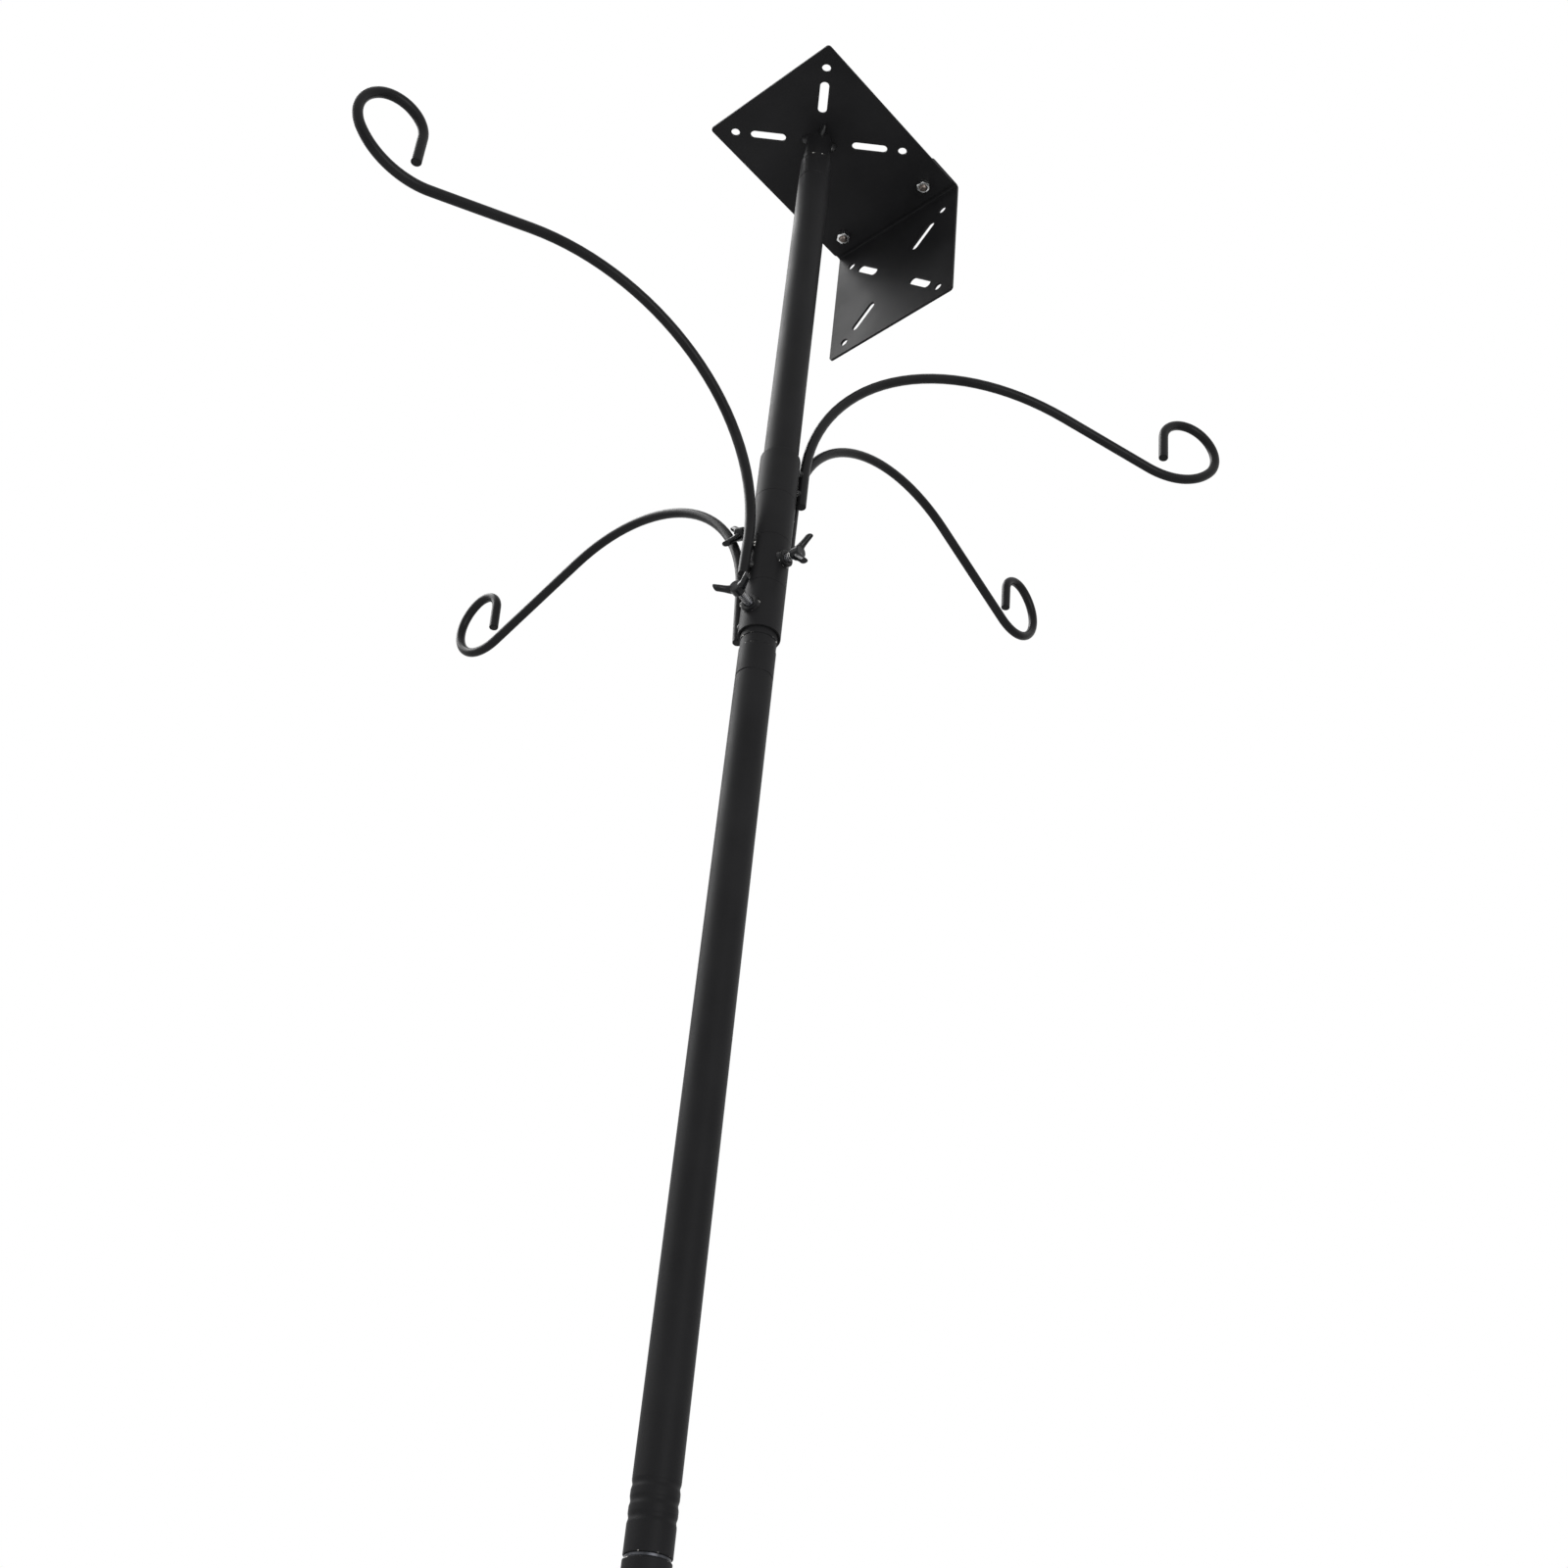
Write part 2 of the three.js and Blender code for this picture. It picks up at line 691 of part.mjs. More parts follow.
function addArms() {
  arms.forEach((arm, i) => {
    const number = i + 1;
    const screwTurn = (arm.screwTurn * Math.PI) / 180;
    const group = new THREE.Group();
    group.position.z = stackBase + (arms.length - number) * sleevePitch;
    group.rotation.z = (arm.turn * Math.PI) / 180;
    group.add(piece("sleeve_" + number, sleeveGeometry(screwTurn, arm.screwRise), powderCoat));
    group.add(piece("hook_rod_" + number, hookRodGeometry(arm), glossCoat));
    const clamp = new THREE.Group();
    clamp.position.z = arm.screwRise;
    clamp.rotation.z = screwTurn;
    clamp.add(piece("sleeve_nut_" + number, sleeveNutGeometry(screwTurn), glossCoat));
    const screw = piece("wing_screw_" + number, wingScrewGeometry(arm.bareThread), blackOxide);
    screw.rotation.x = (-arm.wingRoll * Math.PI) / 180;
    clamp.add(screw);
    group.add(clamp);
    stand.add(group);
  });
}

function addStake() {
  stand.add(piece("stake_socket", socketGeometry(), powderCoat));
  stand.add(piece("stake_spike", spikeGeometry(), powderCoat));
  for (let i = 0; i < prongs; i += 1) {
    const prong = piece("stake_prong_" + (i + 1), prongGeometry(), powderCoat);
    prong.rotation.z = ((prongTurn + (360 * i) / prongs) * Math.PI) / 180;
    stand.add(prong);
  }
}

addPlateAssembly();
addPole();
addArms();
addStake();

export default stand;
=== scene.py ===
"""The looks of a pole stand for bird feeders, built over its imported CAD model.

Sizes are in millimetres in the row frame: the origin is on the pole's axis at the level of the
soil, +Z is up and +X points to the back plate. Blender works in metres, so sizes go through MM.
"""

from __future__ import annotations

import logging
import math
from collections.abc import Callable, Sequence
from dataclasses import dataclass, field, replace
from enum import Enum
from itertools import pairwise, product

import bpy
from mathutils import Matrix, Vector


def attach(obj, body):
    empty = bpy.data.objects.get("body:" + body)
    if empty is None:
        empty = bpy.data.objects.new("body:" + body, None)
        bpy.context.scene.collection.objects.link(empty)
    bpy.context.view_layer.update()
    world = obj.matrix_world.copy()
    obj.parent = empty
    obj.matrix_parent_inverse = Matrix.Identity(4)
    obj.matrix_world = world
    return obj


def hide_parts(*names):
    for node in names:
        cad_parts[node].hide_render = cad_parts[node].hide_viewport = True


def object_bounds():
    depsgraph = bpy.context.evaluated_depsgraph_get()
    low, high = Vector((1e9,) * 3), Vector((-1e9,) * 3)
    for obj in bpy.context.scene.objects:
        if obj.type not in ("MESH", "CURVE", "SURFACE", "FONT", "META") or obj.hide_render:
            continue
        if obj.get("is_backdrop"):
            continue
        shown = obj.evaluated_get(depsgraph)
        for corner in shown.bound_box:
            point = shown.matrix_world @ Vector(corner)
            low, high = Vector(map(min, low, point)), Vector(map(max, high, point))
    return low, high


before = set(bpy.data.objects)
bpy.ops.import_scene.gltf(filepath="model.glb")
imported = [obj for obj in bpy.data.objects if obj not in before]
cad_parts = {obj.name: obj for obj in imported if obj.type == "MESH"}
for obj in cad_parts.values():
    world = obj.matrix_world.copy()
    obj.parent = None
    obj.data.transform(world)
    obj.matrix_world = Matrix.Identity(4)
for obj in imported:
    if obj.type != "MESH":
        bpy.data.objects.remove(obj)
CAD_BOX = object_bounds()

MM = 0.001
LOG = logging.getLogger("feeder_stand")

# Tolerances and angles that all pieces share, in millimetres and degrees
MERGE_DISTANCE = 0.002  # points nearer to each other become one
NEAR = 0.1  # how near to a line or level a point counts as on it
SMOOTH_ANGLE = 32.0  # edges sharper than this stay sharp
WELDED_ANGLE = 40.0  # the same on a piece with weld beads
CAST_ANGLE = 50.0  # the same on a casting
COATED_ANGLE = 40.0  # a coat rounds the edges that are sharper than this
FACE_WEIGHT = 60  # how much a large face straightens the shading next to it
DRILL_REACH = 6.0  # how far a cutter reaches to each side of a plate's middle

# Faces round a turned piece: the wider it is, the more it has
TUBE_SIDES = 96
NUT_SIDES = 64
BAR_SIDES = 48
THREAD_SIDES = 32
HEXAGON_SIDES = 6

Obj = bpy.types.Object
Triple = tuple[float, float, float]
Station = tuple[float, float]
Test = Callable[[Vector], bool]


class Slot(Enum):
    """Names of material slots."""

    POWDER_COAT = "powder_coat"
    GLOSS_COAT = "gloss_coat"
    ZINC = "zinc"
    BLACKENED = "blackened"


class Pick(Enum):
    """What a selection in edit mode is made of."""

    VERTICES = "VERT"
    EDGES = "EDGE"
    FACES = "FACE"


class Wall(Enum):
    """How a turned piece ends: closed by flat caps, or a ring whose profile closes on itself."""

    CAPPED = "NGON"
    RING = "NOTHING"


class Carve(Enum):
    """How one solid works on another."""

    CUT = "DIFFERENCE"
    JOIN = "UNION"
    TRIM = "INTERSECT"


# Working in Blender


def mm(*values: float) -> tuple[float, ...]:
    """Millimetres as metres."""
    return tuple(value * MM for value in values)


def shifted(x: float, y: float, z: float) -> Matrix:
    """A move, in millimetres."""
    return Matrix.Translation(mm(x, y, z))


def rotated(degrees: float, axis: str = "Z") -> Matrix:
    """A turn about an axis through the origin."""
    return Matrix.Rotation(math.radians(degrees), 4, axis)


def aimed(direction: Vector) -> Matrix:
    """The turn that brings +Z to a direction."""
    return direction.to_track_quat("Z", "Y").to_matrix().to_4x4()


def leave_edit() -> None:
    """Goes back to object mode."""
    if bpy.context.mode != "OBJECT":
        bpy.ops.object.mode_set(mode="OBJECT")


def deselect() -> None:
    """Leaves edit mode and deselects every object."""
    leave_edit()
    bpy.ops.object.select_all(action="DESELECT")


def edit_all() -> None:
    """Goes into edit mode on the active object with all of it selected."""
    bpy.ops.object.mode_set(mode="EDIT")
    bpy.ops.mesh.select_mode(type=Pick.VERTICES.value)
    bpy.ops.mesh.select_all(action="SELECT")


def apply_place() -> None:
    """Puts the active object's place, turn and scale into its mesh."""
    bpy.ops.object.transform_apply(location=True, rotation=True, scale=True)


def take(obj: Obj) -> None:
    """Makes one object active and the only one selected.

    Args:
        obj: The object to work on.
    """
    deselect()
    bpy.context.view_layer.objects.active = obj
    obj.select_set(True)


def added(name: str) -> Obj:
    """Names the primitive that was just added.

    Args:
        name: The new name of the object and its mesh.

    Returns:
        The object.
    """
    obj = bpy.context.object
    obj.name = name
    obj.data.name = name
    return obj


def pick(obj: Obj, kind: Pick, test: Test) -> None:
    """Goes into edit mode with the parts selected whose middle passes a test.

    Args:
        obj: The mesh object.
        kind: Whether vertices, edges or faces are selected.
        test: Says of a point in the row frame, in millimetres, whether its part is selected.
    """
    take(obj)
    bpy.ops.object.mode_set(mode="EDIT")
    bpy.ops.mesh.select_mode(type=kind.value)
    bpy.ops.mesh.select_all(action="DESELECT")
    leave_edit()
    mesh = obj.data
    parts = {Pick.VERTICES: mesh.vertices, Pick.EDGES: mesh.edges, Pick.FACES: mesh.polygons}[kind]
    for part in parts:
        corners = [part.index] if kind is Pick.VERTICES else list(part.vertices)
        middle = sum((mesh.vertices[i].co for i in corners), Vector()) / len(corners)
        part.select = test((obj.matrix_world @ middle) / MM)
    bpy.ops.object.mode_set(mode="EDIT")


def extrude(step: Sequence[float]) -> None:
    """Extrudes what is selected by a step in metres."""
    bpy.ops.mesh.extrude_region_move(TRANSFORM_OT_translate={"value": step})


def settle(obj: Obj) -> Obj:
    """Puts an object's place into its mesh, merges doubles and turns its faces outwards.

    Args:
        obj: The object.

    Returns:
        The same object, at the origin, unturned and unscaled.
    """
    take(obj)
    apply_place()
    edit_all()
    bpy.ops.mesh.remove_doubles(threshold=MERGE_DISTANCE * MM)
    bpy.ops.mesh.normals_make_consistent(inside=False)
    leave_edit()
    return obj


def place(obj: Obj, matrix: Matrix) -> Obj:
    """Moves an object that sits at the origin, and keeps its place in its mesh.

    Args:
        obj: The object.
        matrix: Where it goes, in metres.

    Returns:
        The same object.
    """
    take(obj)
    obj.matrix_world = matrix
    bpy.context.view_layer.update()
    apply_place()
    return obj


def twin(obj: Obj, name: str) -> Obj:
    """Copies an object with a mesh of its own.

    Args:
        obj: The object to copy.
        name: The copy's name.

    Returns:
        The copy.
    """
    copy = obj.copy()
    copy.data = obj.data.copy()
    copy.name = name
    copy.data.name = name
    bpy.context.scene.collection.objects.link(copy)
    return copy


def discard(obj: Obj) -> None:
    """Removes an object that was only a tool or a pattern, with its mesh.

    Args:
        obj: The object.
    """
    mesh = obj.data
    bpy.data.objects.remove(obj)
    bpy.data.meshes.remove(mesh)


def apply_modifier(obj: Obj, kind: str, **settings: object) -> None:
    """Adds one modifier and applies it.

    Args:
        obj: The object.
        kind: The modifier's type.
        **settings: Its settings.
    """
    take(obj)
    modifier = obj.modifiers.new(kind.lower(), kind)
    for key, value in settings.items():
        setattr(modifier, key, value)
    bpy.ops.object.modifier_apply(modifier=modifier.name)


def carve(obj: Obj, how: Carve, *tools: Obj) -> Obj:
    """Works solids into another one by one and discards them.

    Args:
        obj: The solid that stays.
        how: Whether they cut, join or trim it.
        *tools: The solids that do so. Joined ones bring their material, cutters have none.

    Returns:
        The solid that stays.
    """
    for tool in tools:
        apply_modifier(
            obj,
            "BOOLEAN",
            object=tool,
            operation=how.value,
            solver="EXACT",
            material_mode="TRANSFER" if how is Carve.JOIN else "INDEX",
        )
        discard(tool)
    return obj


def merge_tools(tools: Sequence[Obj]) -> Obj:
    """Makes one object of several cutters that don't touch, so that they cut in one go.

    Args:
        tools: The cutters.

    Returns:
        The first of them, which now holds all.
    """
    take(tools[0])
    for tool in tools:
        tool.select_set(True)
    bpy.ops.object.join()
    return tools[0]


def straighten(obj: Obj, sharp: bool) -> None:
    """Keeps the shading of large faces straight up to their rounded or, if asked, sharp edges."""
    apply_modifier(obj, "WEIGHTED_NORMAL", mode="FACE_AREA", weight=FACE_WEIGHT, keep_sharp=sharp)


def smooth(obj: Obj, degrees: float) -> None:
    """Shades an object smooth and its long faces straight.

    Args:
        obj: The object.
        degrees: Edges sharper than this stay sharp.
    """
    take(obj)
    bpy.ops.object.shade_smooth_by_angle(angle=math.radians(degrees))
    straighten(obj, True)


def soften_edges(obj: Obj, width: float) -> None:
    """Rounds the sharp edges of a cut plate, as a coat of powder does, and keeps its faces flat.

    Args:
        obj: The plate.
        width: The rounding, in millimetres.
    """
    limits = {"limit_method": "ANGLE", "angle_limit": math.radians(COATED_ANGLE)}
    apply_modifier(obj, "BEVEL", width=width * MM, segments=2, **limits)
    take(obj)
    bpy.ops.object.shade_smooth()
    straighten(obj, False)


# Shapes that several pieces start from


def rounding(
    radius: float, height: float, size: float, start: float, steps: int = 4
) -> list[Station]:
    """A quarter round on a turned profile.

    Args:
        radius: The distance from the axis to the rounding's centre.
        height: The height of its centre.
        size: The rounding's own radius.
        start: The direction in degrees from its centre to its first point, 0 outwards and 90 up.
            The quarter runs on from there with rising angle.
        steps: The faces across it.

    Returns:
        The stations of the quarter round.
    """
    angles = [math.radians(start + 90 * i / steps) for i in range(steps + 1)]
    return [(radius + size * math.cos(a), height + size * math.sin(a)) for a in angles]


def rounded(radius: float, low: float, high: float, foot: float, head: float) -> list[Station]:
    """A cylinder's wall with a quarter round at each end, from low to high.

    Args:
        radius: The wall's radius.
        low: Its lower end.
        high: Its upper end.
        foot: The lower rounding's radius.
        head: The upper rounding's radius.

    Returns:
        The stations of the wall.
    """
    return [
        *rounding(radius - foot, low + foot, foot, -90),
        *rounding(radius - head, high - head, head, 0),
    ]


def bore_wall(radius: float, low: float, high: float, edge: float) -> list[Station]:
    """A bore's wall with a broken edge at each end, from high to low."""
    rim = radius + edge
    return [(rim, high), (radius, high - edge), (radius, low + edge), (rim, low)]


def groove(radius: float, centre: float, width: float, depth: float) -> list[Station]:
    """A smooth groove rolled into a round wall, from low to high.

    Args:
        radius: The wall's radius.
        centre: The height of the groove's deepest line.
        width: Its width along the wall.
        depth: How deep it is.

    Returns:
        The stations of the groove.
    """
    steps = 8
    shares = [i / steps for i in range(steps + 1)]
    return [
        (radius - depth * (1 - math.cos(2 * math.pi * s)) / 2, centre + width * (s - 0.5))
        for s in shares
    ]


def thread(radius: float, low: float, high: float, pitch: float, ridge: float) -> list[Station]:
    """The ridges of a thread along a bar, from low to high.

    Args:
        radius: The outer radius of the thread.
        low: Where it starts.
        high: Where it ends at the latest.
        pitch: The distance from ridge to ridge.
        ridge: How deep the thread is.

    Returns:
        The stations of the whole ridges that fit.
    """
    # One ridge: the share of the pitch at which each corner lies, and its depth
    shape = ((0.0, ridge), (0.35, 0.0), (0.55, 0.0), (0.9, ridge))
    rounding_error = 1e-6
    count = int((high - low) / pitch + rounding_error)
    return [
        (radius - cut, low + (i + share) * pitch) for i in range(count) for share, cut in shape
    ]


def turned(name: str, stations: Sequence[Station], sides: int, wall: Wall = Wall.CAPPED) -> Obj:
    """Turns a piece about Z: a circle is drawn up station by station.

    Args:
        name: The object's name.
        stations: Radius and height in millimetres, in order. No radius is 0.
        sides: The faces round the piece.
        wall: Whether its ends are capped, or its profile closes into a ring.

    Returns:
        The closed piece.
    """
    deselect()
    radius, height = stations[0]
    bpy.ops.mesh.primitive_circle_add(
        vertices=sides, radius=radius * MM, fill_type=wall.value, location=mm(0, 0, height)
    )
    obj = added(name)
    edit_all()
    path = [*stations, stations[0]] if wall is Wall.RING else list(stations)
    for (radius, height), (next_radius, next_height) in pairwise(path):
        extrude(mm(0, 0, next_height - height))
        if next_radius != radius:
            grow = next_radius / radius
            bpy.ops.transform.resize(value=(grow, grow, 1), center_override=mm(0, 0, next_height))
    return settle(obj)


def peg(name: str, radius: float, low: float, high: float, sides: int = BAR_SIDES) -> Obj:
    """A round cutter along Z, in millimetres."""
    return turned(name, [(radius, low), (radius, high)], sides)


def slot_tool(centre: Vector, along: Vector, facing: Vector, length: float, width: float) -> Obj:
    """A cutter for one slot with round ends: a cylinder pulled apart along the slot.

    Args:
        centre: The slot's middle, in millimetres.
        along: The slot's direction.
        facing: The direction the slot goes through the plate.
        length: The slot's length over its round ends.
        width: The slot's width.

    Returns:
        The cutter.
    """
    sides = 40
    axes = Matrix((along, facing.cross(along), facing)).transposed().to_4x4()
    deselect()
    bpy.ops.mesh.primitive_cylinder_add(
        vertices=sides, radius=width / 2 * MM, depth=2 * DRILL_REACH * MM
    )
    tool = added("slot_tool")
    # Half a side's turn leaves no vertex on the line where the cylinder is pulled apart
    place(tool, Matrix.Translation(centre * MM) @ axes @ rotated(180 / sides))
    travel = (length - width) / 2
    for end in (1, -1):
        pick(tool, Pick.VERTICES, lambda point: end * (point - centre).dot(along) > 0)
        bpy.ops.transform.translate(value=along * (end * travel * MM))
    leave_edit()
    return settle(tool)


@dataclass(frozen=True)
class Run:
    """A straight length of bar, in millimetres."""

    length: float


@dataclass(frozen=True)
class Bend:
    """A bend of a bar: its radius in millimetres and its turn in degrees, left is positive."""

    radius: float
    turn: float


@dataclass
class BarBender:
    """Draws a round bar out in the XZ plane, run by run and bend by bend, from its cut end.

    Attributes:
        diameter: The bar's diameter.
        x: Where its end is now.
        z: Where its end is now.
        heading: The direction it runs in, in degrees from +X towards +Z.
        chamfer: The broken edge of a cut end.
        chamfer_along: How far along the broken edge its middle line lies, as a share.
        chamfer_inset: How far in from the bar's wall that line lies, as a share.
        sides: The faces round the bar.
        step: The turn between two rings of a bend, in degrees.
    """

    diameter: float
    x: float
    z: float
    heading: float
    chamfer: float = 0.7
    chamfer_along: float = 0.4
    chamfer_inset: float = 0.3
    sides: int = 24
    step: float = 3.5

    def rim(self) -> Triple:
        """The bar's radius at its cut face, on the middle line of the broken edge and past it."""
        radius = self.diameter / 2
        return (radius - self.chamfer, radius - self.chamfer * self.chamfer_inset, radius)

    def begin(self, name: str) -> Obj:
        """Adds the cut end.

        Args:
            name: The bar's name.

        Returns:
            The bar, in edit mode with its growing end selected.
        """
        deselect()
        face, middle, wall = self.rim()
        bpy.ops.mesh.primitive_circle_add(
            vertices=self.sides,
            radius=face * MM,
            fill_type="NGON",
            location=mm(self.x, 0, self.z),
            rotation=(0, math.radians(90 - self.heading), 0),
        )
        bar = added(name)
        edit_all()
        self.draw(self.chamfer * self.chamfer_along, middle / face)
        self.draw(self.chamfer * (1 - self.chamfer_along), wall / middle)
        return bar

    def draw(self, length: float, grow: float = 1.0) -> None:
        """Draws the end straight on.

        Args:
            length: How far.
            grow: How much wider it gets.
        """
        angle = math.radians(self.heading)
        step = Vector((math.cos(angle), 0, math.sin(angle))) * length
        extrude(step * MM)
        self.x += step.x
        self.z += step.z
        if grow != 1:
            bpy.ops.transform.resize(value=(grow,) * 3, center_override=mm(self.x, 0, self.z))

    def bend(self, bend: Bend) -> None:
        """Spins the end round one bend.

        Args:
            bend: The bend.
        """
        side = math.copysign(1, bend.turn)
        old = math.radians(self.heading)
        new = math.radians(self.heading + bend.turn)
        centre_x = self.x - side * bend.radius * math.sin(old)
        centre_z = self.z + side * bend.radius * math.cos(old)
        bpy.ops.mesh.spin(
            steps=max(2, round(abs(bend.turn) / self.step)),
            angle=math.radians(bend.turn),
            center=mm(centre_x, 0, centre_z),
            axis=(0, 1, 0),
        )
        self.x = centre_x + side * bend.radius * math.sin(new)
        self.z = centre_z - side * bend.radius * math.cos(new)
        self.heading += bend.turn

    def cut_end(self) -> None:
        """Breaks the edge of the far end."""
        face, middle, wall = self.rim()
        self.draw(self.chamfer * (1 - self.chamfer_along), middle / wall)
        self.draw(self.chamfer * self.chamfer_along, face / middle)

    def make(self, name: str, path: Sequence[Run | Bend]) -> Obj:
        """Makes a whole bar with two cut ends.

        Args:
            name: The bar's name.
            path: Its runs and bends in order. The first and the last are runs.

        Returns:
            The bar.
        """
        bar = self.begin(name)
        last = len(path) - 1
        for i, stretch in enumerate(path):
            if isinstance(stretch, Bend):
                self.bend(stretch)
            else:
                self.draw(stretch.length - self.chamfer * ((i == 0) + (i == last)))
        self.cut_end()
        return settle(bar)


# Finishes


def linear(colour: str) -> tuple[float, float, float, float]:
    """An sRGB hex colour as linear values.

    Args:
        colour: Six hex digits after a #.

    Returns:
        Red, green, blue and alpha.
    """
    channels = [int(colour[i : i + 2], 16) / 255 for i in (1, 3, 5)]
    values = [c / 12.92 if c <= 0.04045 else ((c + 0.055) / 1.055) ** 2.4 for c in channels]
    return (values[0], values[1], values[2], 1.0)


def fresh_tree(owner: bpy.types.Material | bpy.types.World) -> bpy.types.NodeTree:
    """Gives a material or a world an empty node tree.

    Args:
        owner: The material or world.

    Returns:
        The tree.
    """
    owner.use_nodes = True
    owner.node_tree.nodes.clear()
    return owner.node_tree


def add_node(
    tree: bpy.types.NodeTree,
    kind: str,
    settings: dict[str, object] | None = None,
    inputs: dict[str | int, object] | None = None,
) -> bpy.types.Node:
    """Adds a node with its settings and links.

    Args:
        tree: The node tree.
        kind: The node's type.
        settings: Its own settings.
        inputs: A value or an output socket for each input.

    Returns:
        The node.
    """
    node = tree.nodes.new(kind)
    for key, value in (settings or {}).items():
        setattr(node, key, value)
    for key, value in (inputs or {}).items():
        if isinstance(value, bpy.types.NodeSocket):
            tree.links.new(value, node.inputs[key])
        else:
            node.inputs[key].default_value = value
    return node


# Noise seldom leaves the middle of its range, so roughness and colour drift over this part of it
ROUGHNESS_DRIFT = (0.35, 0.65)
COLOUR_DRIFT = (0.35, 0.7)

# Painted highlights: spots of bright steel laid over a coat to stand for glints, a few millimetres
# wide
PAINTED_GLINT_STEEL = "#cfcdc8"
PAINTED_GLINT_ROUGHNESS = 0.3
PAINTED_GLINT_SPOT = 2.5
PAINTED_GLINT_FADE = 0.06  # the span of the noise over which a spot fades into the coat
NO_SPOTS = 0.62  # the noise stays under this almost everywhere
ALL_SPOTS = 0.37  # and over this


@dataclass(frozen=True)
class Finish:
    """A surface: a base colour that varies a little, a mottled roughness and a fine relief.

    Attributes:
        name: The material's name.
        slot: The name of a material slot; not used.
        colour: The colour over most of the surface.
        second_colour: The colour it drifts to.
        roughness: The lowest and the highest roughness.
        mottle: The size of the patches in which colour and roughness drift, in millimetres.
        relief: The size of the relief's bumps, in millimetres.
        relief_depth: How high the bumps are, in millimetres.
        metallic: 1 for bare or plated metal, 0 for a coat of plastic.
        specular: The shader's specular level. It stays 0.5 on metal. The coats have less, because
            they show as little gloss as in the photograph under this stage's white surroundings.
        painted_glint_share: How much of the surface takes painted highlights, as broken spots of
            bright steel.
    """

    name: str
    slot: Slot
    colour: str
    second_colour: str
    roughness: tuple[float, float]
    mottle: float
    relief: float
    relief_depth: float
    metallic: float = 0.0
    specular: float = 0.5
    painted_glint_share: float = 0.0

    def paint(self, *pieces: Obj) -> None:
        """Adds this finish to pieces."""
        for piece in pieces:
            piece.data.materials.append(self.material())

    def material(self) -> bpy.types.Material:
        """Builds the material, or finds the one built before.

        Returns:
            The material.
        """
        found = bpy.data.materials.get(self.name)
        if found:
            return found
        material = bpy.data.materials.new(self.name)
        tree = fresh_tree(material)
        place_in_piece = add_node(tree, "ShaderNodeTexCoord").outputs["Object"]
        patches, grain = (
            add_node(
                tree,
                "ShaderNodeTexNoise",
                inputs={"Vector": place_in_piece, "Scale": 1 / (size * MM), "Detail": detail},
            ).outputs["Fac"]
            for size, detail in ((self.mottle, 4.0), (self.relief, 2.0))
        )
        roughness = add_node(
            tree,
            "ShaderNodeMapRange",
            inputs={
                "Value": patches,
                "From Min": ROUGHNESS_DRIFT[0],
                "From Max": ROUGHNESS_DRIFT[1],
                "To Min": self.roughness[0],
                "To Max": self.roughness[1],
            },
        )
        drift = add_node(tree, "ShaderNodeValToRGB", inputs={"Fac": patches})
        stops = zip(drift.color_ramp.elements, COLOUR_DRIFT, (self.colour, self.second_colour))
        for stop, position, colour in stops:
            stop.position = position
            stop.color = linear(colour)
        bumps = add_node(
            tree,
            "ShaderNodeBump",
            inputs={"Height": grain, "Strength": 1.0, "Distance": self.relief_depth * MM},
        )
        shader = add_node(
            tree,
            "ShaderNodeBsdfPrincipled",
            inputs={
                "Base Color": drift.outputs["Color"],
                "Roughness": roughness.outputs["Result"],
                "Normal": bumps.outputs["Normal"],
                "Metallic": self.metallic,
                "Specular IOR Level": self.specular,
            },
        )
        surface = shader.outputs["BSDF"]
        if self.painted_glint_share:
            surface = self.lay_painted_glints(tree, place_in_piece, surface)
        add_node(tree, "ShaderNodeOutputMaterial", inputs={"Surface": surface})
        return material

    def lay_painted_glints(
        self,
        tree: bpy.types.NodeTree,
        place_in_piece: bpy.types.NodeSocket,
        coat: bpy.types.NodeSocket,
    ) -> bpy.types.NodeSocket:
        """Lays spots of bright steel over part of the coat as painted highlights.

        Args:
            tree: The material's node tree.
            place_in_piece: The piece's own coordinates.
            coat: The shader of the coat.

        Returns:
            The shader of both.
        """
        spots = add_node(
            tree,
            "ShaderNodeTexNoise",
            inputs={"Vector": place_in_piece, "Scale": 1 / (PAINTED_GLINT_SPOT * MM), "Detail": 3.0},
        )
        edge = NO_SPOTS - (NO_SPOTS - ALL_SPOTS) * self.painted_glint_share
        share = add_node(
            tree,
            "ShaderNodeMapRange",
            inputs={
                "Value": spots.outputs["Fac"],
                "From Min": edge,
                "From Max": edge + PAINTED_GLINT_FADE,
            },
        )
        steel = add_node(
            tree,
            "ShaderNodeBsdfPrincipled",
            inputs={"Base Color": linear(PAINTED_GLINT_STEEL), "Roughness": PAINTED_GLINT_ROUGHNESS, "Metallic": 1.0},
        )
        blend = add_node(
            tree,
            "ShaderNodeMixShader",
            inputs={0: share.outputs["Result"], 1: coat, 2: steel.outputs["BSDF"]},
        )
        return blend.outputs[0]


# Polyester powder coat, sprayed and baked on steel: satin black. Its shade drifts with the passes
# of the gun, 45 mm apart. Its orange peel is really 0.5 mm wide and is drawn 2 mm wide so that it
# shows; it breaks highlights up a little.
POWDER_COAT = Finish(
    name="satin_black_powder_coat",
    slot=Slot.POWDER_COAT,
    colour="#1a1a1b",
    second_colour="#202021",
    roughness=(0.44, 0.54),
    mottle=45,
    relief=2.0,
    relief_depth=0.03,
    specular=0.06,
)

# The same coat with painted highlights on the edges in the screwed joints: spots of bright steel
# where glints should show.
COAT_WITH_PAINTED_GLINTS = replace(POWDER_COAT, name="powder_coat_painted_edge_glints", painted_glint_share=0.05)

# The same coat over the weld beads under the plate: it ran together there and shines. The weld's
# ripples are 1.2 mm apart.
COATED_WELD = replace(
    POWDER_COAT,
    name="powder_coat_run_over_weld",
    roughness=(0.24, 0.34),
    mottle=6,
    relief=1.2,
    relief_depth=0.05,
    specular=0.35,
)

